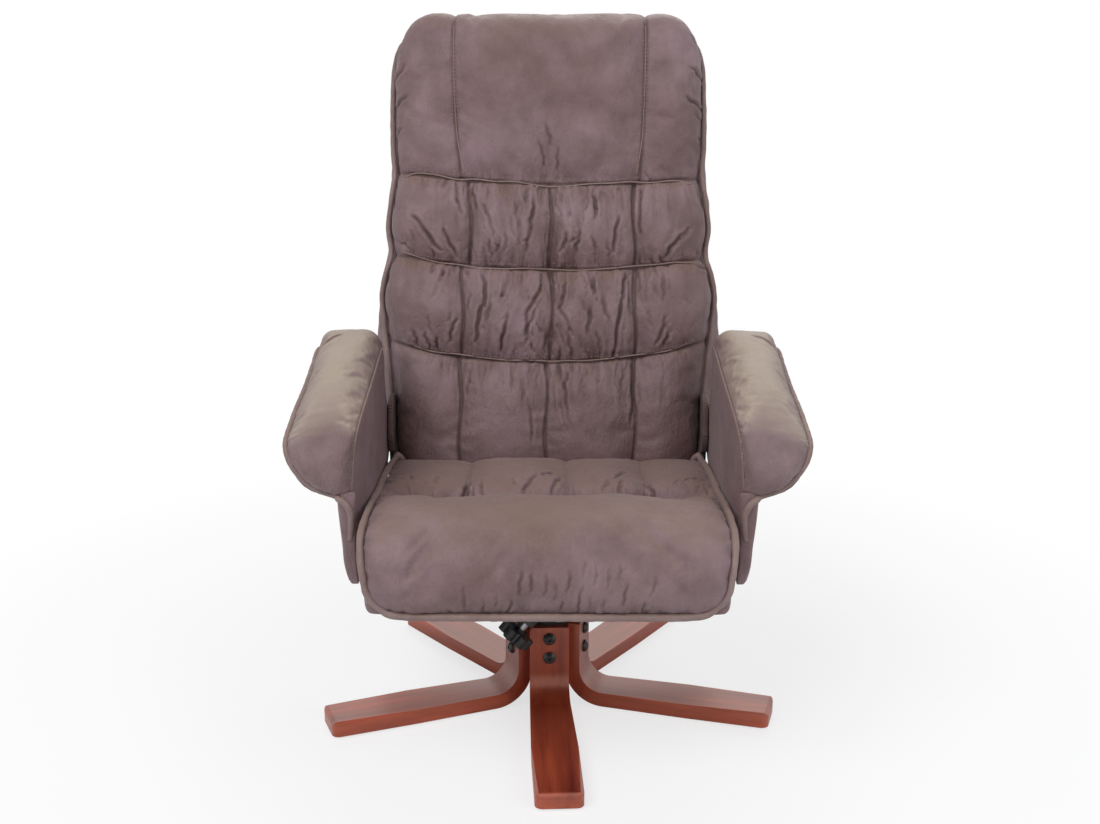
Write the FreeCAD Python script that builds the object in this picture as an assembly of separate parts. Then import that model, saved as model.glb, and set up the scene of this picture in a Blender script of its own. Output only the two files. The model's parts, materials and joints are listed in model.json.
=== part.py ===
"""Swivel recliner on five bentwood legs, built in millimetres.

The origin is the swivel axis on the floor. +Z is up, the chair faces -Y and +X is the viewer's right.
Each sub-part is one named STEP file in parts/.
"""

import FreeCAD, Part
import math
import os

os.makedirs("parts", exist_ok=True)

V = FreeCAD.Vector
X_AXIS = V(1, 0, 0)
Z_AXIS = V(0, 0, 1)
ZERO = V(0, 0, 0)

# Shared clearances
overrun = 2.0
weld_gap = 0.05
running_gap = 0.05
slide_gap = 0.3
soft_gap = 0.5

# Legs: five L-shaped bentwood legs
leg_count = 5
first_leg_turn_degrees = 2.8
leg_thickness = 24.0
leg_hub_width = 62.0
leg_tip_width = 72.0
leg_reach = 370.0
leg_height = 144.0
leg_bend_radius = 38.0
leg_corner_radius = 12.0
leg_end_round = 8.0
leg_edge_chamfer = 5.5
leg_bevel_start = 0.5
leg_bevel_end = 6.0
leg_plate_corner = 4.0
leg_flare_end_share = 0.6
leg_names = ["leg_front", "leg_left_front", "leg_left_rear", "leg_right_rear", "leg_right_front"]

# Glides: round plastic pads under the leg tips
glide_height = 3.0
glide_radius = 14.0
glide_inset = 30.0

# Leg bolts: two round-head socket bolts through each leg plate
bolt_top_drop = 19.0
bolt_spacing = 33.0
bolt_shank_radius = 5.0
bolt_hole_gap = 0.3
bolt_head_radius = 10.0
bolt_head_height = 6.0
bolt_head_rim = 2.5
bolt_socket_width = 6.0
bolt_socket_depth = 3.5
bolt_grip = 12.0

# Hub: pentagonal steel block, top plate and swivel bearing
hub_apothem = 38.0
hub_drop = 12.0
hub_plate_radius = 51.0
hub_plate_thickness = 6.0
spindle_radius = 17.0
spindle_tail = 14.0
bush_wall = 4.0
bush_length = 20.0
bush_flange = 3.0
race_thickness = 2.0
race_outer_radius = 40.0
race_inner_radius = 20.0
ball_count = 12
ball_radius = 3.0
ball_ring_radius = 31.0
cage_thickness = 2.5
ball_gap = 0.1
washer_thickness = 3.0
washer_radius = 30.0
clip_thickness = 2.0
clip_radius = 22.0
clip_groove_depth = 2.0

# Carriage: the swivelling steel chassis
plate_thickness = 6.0
plate_half_width = 90.0
plate_front = 38.0
plate_rear = 130.0
cheek_thickness = 5.0
cheek_offset = 75.0
beam_depth = 30.0
beam_height = 28.0
beam_wall = 2.0
front_beam_y = -60.0
front_beam_lift = 16.0
rear_beam_y = 100.0

# Seat: sloped frame, runners and cushion, drawn level and then tilted about its front lower edge
seat_slope_degrees = 8.0
seat_front_y = -330.0
seat_rise = 146.0
seat_bottom_z = leg_height + seat_rise
seat_travel = 60.0
seat_frame_half_width = 254.0
seat_frame_front = -310.0
seat_frame_rear = 146.0
seat_rail_width = 50.0
seat_rail_height = 34.0
seat_webbing_count = 4
seat_webbing_width = 60.0
webbing_thickness = 2.0
dust_cover_thickness = 1.0
runner_inset = 26.0
runner_offset = seat_frame_half_width - runner_inset
runner_width = 20.0
runner_thickness = 6.0
runner_front = -270.0
runner_rear = 140.0
slide_block_height = 16.0
slide_block_length = 44.0
slide_block_width = 24.0
slide_block_front = -90.0
slide_block_spacing = 150.0
glide_rail_wall = 2.5
glide_rail_rise = 15.0
glide_rail_margin = 18.0
saddle_width = 30.0

# Seat cushion: stations along the seat, drawn level
cushion_overhang = 10.0
cushion_half_width = seat_frame_half_width + cushion_overhang
cushion_front_bulge = 44.0
cushion_crest = 137.0
cushion_seam_y = -114.0
cushion_seam_top = 117.0
cushion_rear_y = 106.0
cushion_rear_top = 139.0
cushion_tail_y = 150.0
cushion_tail_top = 72.0
cushion_tail_inset = 10.0
cushion_tail_half_width = seat_frame_half_width - cushion_tail_inset
cushion_side_draw = 7.0
cushion_tuft_depth = 9.0
cushion_column_share = 0.53
cushion_column_x = seat_frame_half_width * cushion_column_share
cushion_crown = 9.0
# Each row of the nose: how far forward, how wide, where its base lies and how high it is
nose_shares = [(1.0, 0.93, 0.42, 0.76), (0.75, 0.98, 0.2, 0.9), (0.3, 1.0, 0.04, 0.96)]
cushion_brow_share = 0.98
rear_panel_shares = [0.25, 0.7]
rear_end_share = 0.9

# Back: drawn upright with its front face at zero depth, then leaned about its foot
back_foot_y = 130.0
back_foot_rise = 80.0
back_foot_z = seat_bottom_z + back_foot_rise
back_lean_degrees = 15.0
back_drop = 34.0
back_top = 738.0
back_seam_shares = [0.225, 0.43, 0.603]
back_seam_heights = [back_top * share for share in back_seam_shares]
back_depth = 94.0
back_welt_depth = 57.0
back_crown = 20.0
back_column_share = 0.59
back_column_x = seat_frame_half_width * back_column_share
back_channel_depth = 7.0
back_low_inset = 2.0
back_wide_swell = 30.0
back_mid_swell = 21.0
back_head_swell = 16.0
back_top_inset = 40.0
back_low_half_width = seat_frame_half_width - back_low_inset
back_wide_half_width = seat_frame_half_width + back_wide_swell
back_mid_half_width = seat_frame_half_width + back_mid_swell
back_head_half_width = seat_frame_half_width + back_head_swell
back_top_half_width = seat_frame_half_width - back_top_inset
back_seam_draw = 9.0
back_rebate = 12.0
back_fall_share = 0.36
back_low_crown_share = 0.6
back_low_panel_shares = [0.25, 0.62]
back_drop_share = 0.6
back_panel_shares = [0.3, 0.7]
# Each row of the headrest: height, how far the side has drawn in towards the top, and crown
headrest_shares = [(0.2, 0.0, -1.0), (0.6, 0.0, -1.0), (0.84, 0.2, -0.5), (0.95, 0.55, 0.25), (1.0, 1.0, 1.3)]
shell_low_shares = [0.3, 0.65]
shell_proud = 8.0
shell_rear_depth = 136.0
shell_wall = 12.0
shell_panel = 14.0

# Back frame: steel tubes behind the cushion
back_tube_radius = 11.0
back_tube_wall = 2.0
back_tube_depth = 107.5
back_upright_inset = 69.0
back_upright_x = seat_frame_half_width - back_upright_inset
back_cross_shares = [0.027, 0.46, 0.935]
back_cross_heights = [back_top * share for share in back_cross_shares]
back_webbing_count = 6
back_webbing_width = 50.0

# Recline hinge and the pin that couples seat and back
pivot_y = 165.0
pivot_rise = 140.0
pivot_z = seat_bottom_z + pivot_rise
pivot_bolt_radius = 8.0
pivot_head_radius = 14.0
pivot_head_height = 7.0
pivot_bush_wall = 3.0
pivot_plate_gap = 8.0
pivot_plate_x = seat_frame_half_width + pivot_plate_gap
pivot_plate_thickness = 5.0
pivot_plate_margin = 20.0
link_pin_y = 175.0
link_pin_rise = 40.0
link_pin_z = seat_bottom_z + link_pin_rise
link_pin_radius = 6.0
link_pin_play = 6.0
link_pin_length = 14.0
link_post_thickness = 6.0
link_post_width = 34.0

# Arms: steel bracket, board, inner and outer pads and the wing on top
arm_gap = 14.0
arm_inner_x = seat_frame_half_width + arm_gap
arm_pad_thickness = 12.0
arm_board_thickness = 15.0
arm_outer_pad_thickness = 13.0
arm_bracket_thickness = 6.0
arm_bracket_rise = 32.0
arm_bracket_top = seat_bottom_z + arm_bracket_rise
arm_bracket_front = -120.0
arm_front_y = -205.0
arm_rear_y = 122.0
arm_pad_rise = 80.0
arm_pad_bottom = seat_bottom_z + arm_pad_rise
arm_board_drop = 4.0
arm_board_bottom = seat_bottom_z - arm_board_drop
arm_edge_round = 9.0
wing_end_length = 22.0
wing_rise_front = 130.0
wing_rise_rear = 190.0
wing_bottom_front = seat_bottom_z + wing_rise_front
wing_bottom_rear = seat_bottom_z + wing_rise_rear
wing_height_front = 106.0
wing_height_rear = 116.0
wing_reach_front = 108.0
wing_reach_rear = 101.0
# Outline of the wing: places as shares of its reach, levels as shares of its height
wing_inner_high_share = 0.8
wing_crest_share = 0.48
wing_nose_share = 0.9
wing_nose_high_share = 0.86
wing_nose_mid_share = 0.69
wing_nose_low_share = 0.5
wing_belly_share = 0.68
wing_belly_low_share = 0.16
# Ends of the wing: how far out along the end, and how large
wing_front_shares = [(1.0, 0.62), (0.85, 0.8), (0.5, 0.94)]
wing_rear_shares = [(0.5, 0.97), (1.0, 0.88)]
arm_bolt_radius = 4.0
arm_bolt_head_radius = 8.0
arm_bolt_head_height = 3.5
arm_bolt_grip = 10.0

# Recline clamp: star knob, threaded stud, boss, pad and bar
knob_centre_x = -50.0
knob_centre_y = -90.0
knob_lift = 1.0
knob_centre_z = leg_height + knob_lift
clamp_side_share = 0.656
knob_radius = 29.0
knob_lobes = 6
knob_lobe_radius = 8.5
knob_thickness = 17.0
knob_neck_radius = 9.0
knob_neck_length = 5.0
stud_radius = 6.0
stud_length = 108.0
boss_radius = 13.0
boss_start = 26.0
boss_length = 34.0
tongue_half_width = 12.0
clamp_pad_radius = 11.0
clamp_pad_thickness = 10.0
clamp_pad_pocket = 6.0
clamp_pad_gap = 0.02
clamp_bar_width = 26.0
clamp_bar_thickness = 5.0
clamp_bar_lead = 26.0
clamp_bar_tail = 84.0
clamp_strap_width = 26.0
clamp_strap_thickness = 5.0
clamp_post_width = 12.0


# Helpers

def save(name, shapes):
    """Writes one node: a single solid or a group of separate solids."""
    solids = shapes if isinstance(shapes, list) else [shapes]
    shape = solids[0] if len(solids) == 1 else Part.makeCompound(solids)
    shape.exportStep("parts/" + name + ".step")


def box(x0, x1, y0, y1, z0, z1):
    return Part.makeBox(x1 - x0, y1 - y0, z1 - z0, V(x0, y0, z0))


def rod(radius, start, end):
    return Part.makeCylinder(radius, (end - start).Length, start, end - start)


def ring(outer, inner, start, end):
    """A tube between two points; the bore overruns both ends."""
    way = (end - start).normalize() * overrun
    return rod(outer, start, end).cut(rod(inner, start - way, end + way))


def prism(points, way):
    """A closed outline of points, pushed along a vector."""
    return Part.Face(Part.makePolygon(points + [points[0]])).extrude(way)


def arc(start, middle, end):
    return Part.Arc(start, middle, end).toShape()


def line(start, end):
    return Part.makeLine(start, end)


def loft(wires, ruled=False):
    return Part.makeLoft(wires, True, ruled)


def mirrored(shape):
    return shape.mirror(ZERO, X_AXIS)


def turned(shape, degrees):
    """A copy turned about the swivel axis."""
    copy = shape.copy()
    copy.rotate(ZERO, Z_AXIS, degrees)
    return copy


def box_tube(x0, x1, y0, y1, z0, z1, wall):
    """A rectangular tube that runs along X."""
    bore = box(x0 - overrun, x1 + overrun, y0 + wall, y1 - wall, z0 + wall, z1 - wall)
    return box(x0, x1, y0, y1, z0, z1).cut(bore)


def save_pair(name, shape):
    """The +X piece is the sitter's left one; the other is its mirror image."""
    save(name + "_left", shape)
    save(name + "_right", mirrored(shape))


def seat_tilt(shape):
    """Tilts a piece of the level seat about the seat's front lower edge."""
    copy = shape.copy()
    copy.rotate(V(0, seat_front_y, seat_bottom_z), X_AXIS, -seat_slope_degrees)
    return copy


def seat_point(y, z):
    """Where a point of the level seat comes to lie."""
    angle = math.radians(seat_slope_degrees)
    away = y - seat_front_y
    up = z - seat_bottom_z
    tilted_y = seat_front_y + away * math.cos(angle) + up * math.sin(angle)
    return V(0, tilted_y, seat_bottom_z - away * math.sin(angle) + up * math.cos(angle))


def back_lean(shape):
    """Moves a piece of the upright back to its foot and leans it back."""
    copy = shape.copy()
    copy.translate(V(0, back_foot_y, back_foot_z))
    copy.rotate(V(0, back_foot_y, back_foot_z), X_AXIS, -back_lean_degrees)
    return copy


def back_local(y, z):
    """Depth and height in the upright back of a point of the chair."""
    angle = math.radians(back_lean_degrees)
    away = y - back_foot_y
    up = z - back_foot_z
    depth = away * math.cos(angle) - up * math.sin(angle)
    return depth, away * math.sin(angle) + up * math.cos(angle)


# Legs

leg_low = glide_height
leg_high = glide_height + leg_thickness
leg_outer = hub_apothem + leg_thickness
leg_bend_centre = V(leg_outer + leg_bend_radius, 0, leg_high + leg_bend_radius)
leg_angles = [first_leg_turn_degrees - 90 + 360 * index / leg_count for index in range(leg_count)]
bolt_levels = [leg_height - bolt_top_drop, leg_height - bolt_top_drop - bolt_spacing]


def on_bend(radius, degrees):
    angle = math.radians(degrees)
    return leg_bend_centre + V(-radius * math.cos(angle), 0, -radius * math.sin(angle))


def leg_side_view(half_width):
    """The L-shaped side view, as a solid as wide as the leg's widest place."""
    inner_bend = leg_bend_radius
    outer_bend = leg_bend_radius + leg_thickness
    end_centre = V(leg_reach - leg_end_round, 0, leg_high - leg_end_round)
    end_middle = end_centre + V(1, 0, 1).normalize() * leg_end_round
    top_inner = V(hub_apothem, 0, leg_height)
    top_outer = V(leg_outer, 0, leg_height)
    end_top = end_centre + V(0, 0, leg_end_round)
    end_side = end_centre + V(leg_end_round, 0, 0)
    end_bottom = V(leg_reach, 0, leg_low)
    edges = [
        line(top_inner, top_outer),
        line(top_outer, on_bend(inner_bend, 0)),
        arc(on_bend(inner_bend, 0), on_bend(inner_bend, 45), on_bend(inner_bend, 90)),
        line(on_bend(inner_bend, 90), end_top),
        arc(end_top, end_middle, end_side),
        line(end_side, end_bottom),
        line(end_bottom, on_bend(outer_bend, 90)),
        arc(on_bend(outer_bend, 90), on_bend(outer_bend, 45), on_bend(outer_bend, 0)),
        line(on_bend(outer_bend, 0), top_inner),
    ]
    face = Part.Face(Part.Wire(edges))
    face.translate(V(0, -half_width, 0))
    return face.extrude(V(0, 2 * half_width, 0))


def leg_top_view():
    """The flared outline seen from above, with round corners at the tip."""
    hub_half = leg_hub_width / 2
    tip_half = leg_tip_width / 2
    flare = hub_apothem + (leg_reach - hub_apothem) * leg_flare_end_share
    corner = leg_corner_radius
    reach = leg_reach
    half_turn = corner * math.cos(math.radians(45))
    corner_x = reach - corner + half_turn
    corner_y = tip_half - corner + half_turn
    start = V(hub_apothem, hub_half - leg_edge_chamfer, 0)
    wide = V(hub_apothem + leg_edge_chamfer, hub_half, 0)
    side = [start, wide, V(flare, tip_half, 0), V(reach - corner, tip_half, 0)]
    far = [V(point.x, -point.y, 0) for point in reversed(side)]
    edges = [line(first, second) for first, second in zip(side, side[1:])]
    edges.append(arc(side[-1], V(corner_x, corner_y, 0), V(reach, tip_half - corner, 0)))
    edges.append(line(V(reach, tip_half - corner, 0), V(reach, corner - tip_half, 0)))
    edges.append(arc(V(reach, corner - tip_half, 0), V(corner_x, -corner_y, 0), far[0]))
    edges += [line(first, second) for first, second in zip(far, far[1:])]
    edges.append(line(far[-1], start))
    return Part.Face(Part.Wire(edges)).extrude(V(0, 0, leg_height + overrun))


def leg_edge_cut(side):
    """A wedge that bevels one long top edge, growing towards the tip."""
    edge_y = leg_tip_width / 2
    wires = []
    flare = hub_apothem + (leg_reach - hub_apothem) * leg_flare_end_share
    for x, size in ((flare, leg_bevel_start), (leg_reach + overrun, leg_bevel_end)):
        corners = [
            V(x, side * (edge_y - size - overrun), leg_high + overrun),
            V(x, side * (edge_y + overrun), leg_high + overrun),
            V(x, side * (edge_y + overrun), leg_high - size - overrun),
        ]
        wires.append(Part.makePolygon(corners + [corners[0]]))
    return loft(wires, ruled=True)


def make_leg():
    leg = leg_side_view(leg_tip_width).common(leg_top_view())
    leg = leg.cut(leg_edge_cut(1)).cut(leg_edge_cut(-1))
    for level in bolt_levels:
        start = V(hub_apothem - overrun, 0, level)
        leg = leg.cut(rod(bolt_shank_radius + bolt_hole_gap, start, V(leg_outer + overrun, 0, level)))
    corners = []
    for edge in leg.Edges:
        bounds = edge.BoundBox
        flat = bounds.ZMin > leg_height - leg_plate_corner
        if flat and bounds.XLength > leg_thickness / 2 and bounds.YMax * bounds.YMin > 0:
            corners.append(edge)
    return leg.makeFillet(leg_plate_corner, corners)


def make_bolt(level):
    """A domed head outside the leg plate, its socket, and a shank into the hub."""
    rim_x = leg_outer + bolt_head_rim
    tip_x = leg_outer + bolt_head_height
    half_head = bolt_head_radius * math.cos(math.radians(45))
    dome_x = rim_x + (tip_x - rim_x) * math.sin(math.radians(45))
    edges = [
        line(V(leg_outer, 0, 0), V(leg_outer, 0, bolt_head_radius)),
        line(V(leg_outer, 0, bolt_head_radius), V(rim_x, 0, bolt_head_radius)),
        arc(V(rim_x, 0, bolt_head_radius), V(dome_x, 0, half_head), V(tip_x, 0, bolt_socket_width)),
        line(V(tip_x, 0, bolt_socket_width), V(tip_x, 0, 0)),
        line(V(tip_x, 0, 0), V(leg_outer, 0, 0)),
    ]
    head = Part.Face(Part.Wire(edges)).revolve(ZERO, X_AXIS, 360)
    socket_radius = bolt_socket_width / 2 / math.cos(math.radians(30))
    corners = []
    for index in range(6):
        angle = math.radians(60 * index)
        corners.append(V(tip_x - bolt_socket_depth, socket_radius * math.cos(angle), socket_radius * math.sin(angle)))
    head = head.cut(prism(corners, V(bolt_socket_depth + overrun, 0, 0)))
    shank = rod(bolt_shank_radius, V(hub_apothem - bolt_grip, 0, 0), V(leg_outer, 0, 0))
    bolt = head.fuse(shank).removeSplitter()
    bolt.translate(V(0, 0, level))
    return bolt


def build_legs():
    leg = make_leg()
    glide_place = V(leg_reach - glide_inset, 0, 0)
    glide = rod(glide_radius, glide_place, glide_place + V(0, 0, glide_height))
    bolts = [make_bolt(level) for level in bolt_levels]
    for name, angle in zip(leg_names, leg_angles):
        save(name, turned(leg, angle))
    save("leg_bolts", [turned(bolt, angle) for angle in leg_angles for bolt in bolts])
    save("leg_glides", [turned(glide, angle) for angle in leg_angles])


# Hub and swivel bearing

hub_low = bolt_levels[-1] - hub_drop
bush_radius = spindle_radius + running_gap + bush_wall
hub_plate_top = leg_height + hub_plate_thickness
race_top = hub_plate_top + race_thickness
ball_centre = race_top + ball_gap + ball_radius
upper_race_low = ball_centre + ball_radius + ball_gap
plate_low = upper_race_low + race_thickness
plate_high = plate_low + plate_thickness


def on_axis(z):
    return V(0, 0, z)


def make_hub_block():
    corner_radius = hub_apothem / math.cos(math.pi / leg_count)
    corners = []
    for angle in leg_angles:
        corner = math.radians(angle + 180 / leg_count)
        corners.append(V(corner_radius * math.cos(corner), corner_radius * math.sin(corner), hub_low))
    block = prism(corners, on_axis(leg_height - hub_low))
    block = block.cut(rod(bush_radius, on_axis(hub_low - overrun), on_axis(leg_height + overrun)))
    for angle in leg_angles:
        for level in bolt_levels:
            start = V(hub_apothem - bolt_grip - overrun, 0, level)
            hole = rod(bolt_shank_radius + weld_gap, start, V(hub_apothem + overrun, 0, level))
            block = block.cut(turned(hole, angle))
    return block


def make_bush(low, high, flange_low):
    body = rod(bush_radius, on_axis(low), on_axis(high))
    flange = rod(bush_radius + bush_wall, on_axis(flange_low), on_axis(flange_low + bush_flange))
    bore = rod(spindle_radius + running_gap, on_axis(low - leg_height), on_axis(high + leg_height))
    return body.fuse(flange).cut(bore).removeSplitter()


def build_hub():
    save("hub_block", make_hub_block())
    plate_bore = bush_radius + bush_wall + running_gap
    save("hub_top_plate", ring(hub_plate_radius, plate_bore, on_axis(leg_height), on_axis(hub_plate_top)))
    upper = make_bush(leg_height - bush_length, leg_height, leg_height)
    lower = make_bush(hub_low, hub_low + bush_length, hub_low - bush_flange)
    save("swivel_bushes", [upper, lower])
    save("bearing_race_lower", ring(race_outer_radius, race_inner_radius, on_axis(hub_plate_top), on_axis(race_top)))
    cage_low = ball_centre - cage_thickness / 2
    cage_ring = ball_ring_radius - ball_radius * 2
    cage = ring(ball_ring_radius + ball_radius * 2, cage_ring, on_axis(cage_low), on_axis(cage_low + cage_thickness))
    balls = []
    for index in range(ball_count):
        angle = 2 * math.pi * index / ball_count
        centre = V(ball_ring_radius * math.cos(angle), ball_ring_radius * math.sin(angle), ball_centre)
        balls.append(Part.makeSphere(ball_radius, centre))
        pocket = rod(ball_radius + ball_gap, centre - on_axis(cage_thickness), centre + on_axis(cage_thickness))
        cage = cage.cut(pocket)
    save("bearing_cage", cage)
    save("bearing_balls", balls)


def build_spindle():
    washer_high = hub_low - bush_flange - slide_gap
    washer_low = washer_high - washer_thickness
    clip_low = washer_low - clip_thickness
    spindle = rod(spindle_radius, on_axis(washer_low - spindle_tail), on_axis(plate_high))
    groove = ring(spindle_radius + overrun, spindle_radius - clip_groove_depth, on_axis(clip_low), on_axis(washer_low))
    save("swivel_spindle", spindle.cut(groove))
    bore = spindle_radius + weld_gap
    save("spindle_washer", ring(washer_radius, bore, on_axis(washer_low), on_axis(washer_high)))
    clip_bore = spindle_radius - clip_groove_depth + weld_gap
    save("spindle_clip", ring(clip_radius, clip_bore, on_axis(clip_low), on_axis(washer_low)))
    save("bearing_race_upper", ring(race_outer_radius, race_inner_radius, on_axis(upper_race_low), on_axis(plate_low)))


# Carriage

front_beam_low = plate_high + front_beam_lift
front_beam_high = front_beam_low + beam_height
rear_beam_high = plate_high + beam_height
bracket_x = arm_inner_x + arm_pad_thickness - arm_bracket_thickness
board_x = arm_inner_x + arm_pad_thickness
runner_low = seat_bottom_z - runner_thickness
block_low = runner_low - slide_block_height
rail_low = block_low - slide_gap - glide_rail_wall
rail_half_width = slide_block_width / 2 + slide_gap + glide_rail_wall
glide_rail_front = slide_block_front - slide_block_length / 2 - seat_travel - glide_rail_margin
glide_rail_rear = rear_beam_y + beam_depth + glide_rail_margin
beam_places = [
    (front_beam_y, front_beam_low, front_beam_high),
    (rear_beam_y, plate_high, rear_beam_high),
]


def make_beam(y, low, high):
    return box_tube(-bracket_x, bracket_x, y, y + beam_depth, low, high, beam_wall)


def make_cheek():
    """A side plate that stands on the swivel plate and carries both beams."""
    front = front_beam_y - overrun
    points = [
        V(cheek_offset, -plate_front, plate_high),
        V(cheek_offset, plate_rear, plate_high),
        V(cheek_offset, plate_rear, rear_beam_high),
        V(cheek_offset, front + beam_depth, front_beam_high + overrun),
        V(cheek_offset, front, front_beam_high + overrun),
        V(cheek_offset, front, front_beam_low - overrun),
    ]
    cheek = prism(points, V(cheek_thickness, 0, 0))
    gap = weld_gap
    for y, low, high in beam_places:
        space = box(-bracket_x, bracket_x, y - gap, y + beam_depth + gap, low - gap, high + gap)
        cheek = cheek.cut(space)
    return cheek


def make_glide_rail():
    """A level channel, open at the top, that the slide blocks run in."""
    high = rail_low + glide_rail_rise
    left = runner_offset - rail_half_width
    right = runner_offset + rail_half_width
    outer = box(left, right, glide_rail_front, glide_rail_rear, rail_low, high)
    front = glide_rail_front - overrun
    rear = glide_rail_rear + overrun
    floor = rail_low + glide_rail_wall
    return outer.cut(box(left + glide_rail_wall, right - glide_rail_wall, front, rear, floor, high + overrun))


def make_saddle(y, beam_high):
    """A wedge between a beam and the sloping glide rail."""
    left = runner_offset - saddle_width / 2
    right = runner_offset + saddle_width / 2
    post = box(left, right, y, y + beam_depth, beam_high, seat_bottom_z)
    above = box(0, bracket_x, glide_rail_front, glide_rail_rear, rail_low, 2 * seat_bottom_z)
    return post.cut(seat_tilt(above))


def build_carriage():
    plate = box(-plate_half_width, plate_half_width, -plate_front, plate_rear, plate_low, plate_high)
    bore = rod(spindle_radius + weld_gap, on_axis(plate_low - overrun), on_axis(plate_high + overrun))
    save("swivel_plate", plate.cut(bore))
    save_pair("chassis_cheek", make_cheek())
    save("front_beam", make_beam(*beam_places[0]))
    save("rear_beam", make_beam(*beam_places[1]))
    save_pair("glide_rail", seat_tilt(make_glide_rail()))
    saddles = [make_saddle(y, high) for y, _, high in beam_places]
    save("rail_saddles", saddles + [mirrored(saddle) for saddle in saddles])


# Recline clamp

seat_normal = seat_point(seat_front_y, seat_bottom_z + overrun) - seat_point(seat_front_y, seat_bottom_z)
seat_normal = seat_normal.normalize()
slide_way = V(0, -seat_normal.z, seat_normal.y)
clamp_lift_share = math.sqrt(1 - clamp_side_share ** 2)
clamp_way = X_AXIS * clamp_side_share + seat_normal * clamp_lift_share
clamp_across = X_AXIS * clamp_lift_share - seat_normal * clamp_side_share
knob_centre = V(knob_centre_x, knob_centre_y, knob_centre_z)
pad_low = stud_length - clamp_pad_pocket
pad_high = pad_low + clamp_pad_thickness
strap_high = seat_bottom_z - dust_cover_thickness
strap_low = strap_high - clamp_strap_thickness


def on_stud(distance):
    return knob_centre + clamp_way * distance


def make_knob():
    """A lobed hand knob with a neck, bored for the stud."""
    half = knob_thickness / 2
    core = rod(knob_radius - knob_lobe_radius, on_stud(-half), on_stud(half))
    knob = core.fuse(rod(knob_neck_radius, on_stud(0), on_stud(half + knob_neck_length)))
    for index in range(knob_lobes):
        angle = 2 * math.pi * index / knob_lobes
        out = clamp_across * math.cos(angle) + slide_way * math.sin(angle)
        place = out * (knob_radius - knob_lobe_radius)
        knob = knob.fuse(rod(knob_lobe_radius, on_stud(-half) + place, on_stud(half) + place))
    bore = rod(stud_radius + weld_gap, on_stud(0), on_stud(half + knob_neck_length + overrun))
    return knob.cut(bore).removeSplitter()


def make_boss():
    """The threaded boss on its tongue, welded to the front of the swivel plate."""
    barrel = rod(boss_radius, on_stud(boss_start), on_stud(boss_start + boss_length))
    middle = on_stud(boss_start)
    left = middle.x - tongue_half_width
    tongue = box(left, left + 2 * tongue_half_width, middle.y, -plate_front, plate_low, plate_high)
    bore = rod(stud_radius + running_gap, on_stud(0), on_stud(boss_start + boss_length + overrun))
    return barrel.fuse(tongue).cut(bore).removeSplitter()


def make_clamp_pad():
    pad = rod(clamp_pad_radius, on_stud(pad_low), on_stud(pad_high))
    pocket_high = on_stud(stud_length + running_gap)
    return pad.cut(rod(stud_radius + running_gap, on_stud(pad_low - overrun), pocket_high))


def make_clamp_bar():
    """A tilted flat bar that slides past the pad, on two posts under the cross straps."""
    face = on_stud(pad_high + clamp_pad_gap)
    half = clamp_across * (clamp_bar_width / 2)
    front = face + slide_way * clamp_bar_lead
    rear = face - slide_way * clamp_bar_tail
    bar = prism([front - half, front + half, rear + half, rear - half], clamp_way * clamp_bar_thickness)
    for place in strap_places():
        side = X_AXIS * (clamp_post_width / 2)
        length = slide_way * clamp_strap_width
        foot = place + clamp_way * clamp_bar_thickness
        corners = [foot - side, foot + side, foot + side - length, foot - side - length]
        rise = (seat_point(seat_front_y, strap_low) - foot).dot(seat_normal)
        bar = bar.fuse(prism(corners, seat_normal * rise))
    return bar.removeSplitter()


def strap_places():
    """The front edges of the two posts, on the face of the clamp bar."""
    face = on_stud(pad_high + clamp_pad_gap)
    front = face + slide_way * clamp_bar_lead
    rear = face - slide_way * (clamp_bar_tail - clamp_strap_width)
    return [front, rear]


def make_strap(place):
    """A flat bar from one side rail of the seat frame to the other."""
    level = slide_way.dot(seat_point(seat_front_y, strap_low) - place)
    front = seat_front_y + level
    reach = seat_frame_half_width - seat_rail_width / 2 - runner_width
    strap = box(-reach, reach, front, front + clamp_strap_width, strap_low, strap_high)
    return seat_tilt(strap)


def build_clamp():
    save("clamp_boss", make_boss())
    save("clamp_pad", make_clamp_pad())
    save("clamp_stud", rod(stud_radius, on_stud(weld_gap), on_stud(stud_length)))
    save("star_knob", make_knob())
    save("clamp_bar", make_clamp_bar())
    save("cross_straps", [make_strap(place) for place in strap_places()])


# Seat

def build_seat_frame():
    half = seat_frame_half_width
    low = seat_bottom_z
    high = low + seat_rail_height
    outer = box(-half, half, seat_frame_front, seat_frame_rear, low, high)
    inner_half = half - seat_rail_width
    front = seat_frame_front + seat_rail_width
    rear = seat_frame_rear - seat_rail_width
    frame = outer.cut(box(-inner_half, inner_half, front, rear, low - overrun, high + overrun))
    save("seat_frame", seat_tilt(frame))
    straps = []
    pitch = 2 * inner_half / seat_webbing_count
    for index in range(seat_webbing_count):
        middle = -inner_half + pitch * (index + 0.5)
        left = middle - seat_webbing_width / 2
        right = middle + seat_webbing_width / 2
        start = front - seat_rail_width / 2
        end = rear + seat_rail_width / 2
        straps.append(seat_tilt(box(left, right, start, end, high, high + webbing_thickness)))
    save("seat_webbing", straps)
    cover_half = runner_offset - runner_width
    cover = box(-cover_half, cover_half, front - overrun, rear + overrun, low - dust_cover_thickness, low)
    save("dust_cover", seat_tilt(cover))


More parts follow.
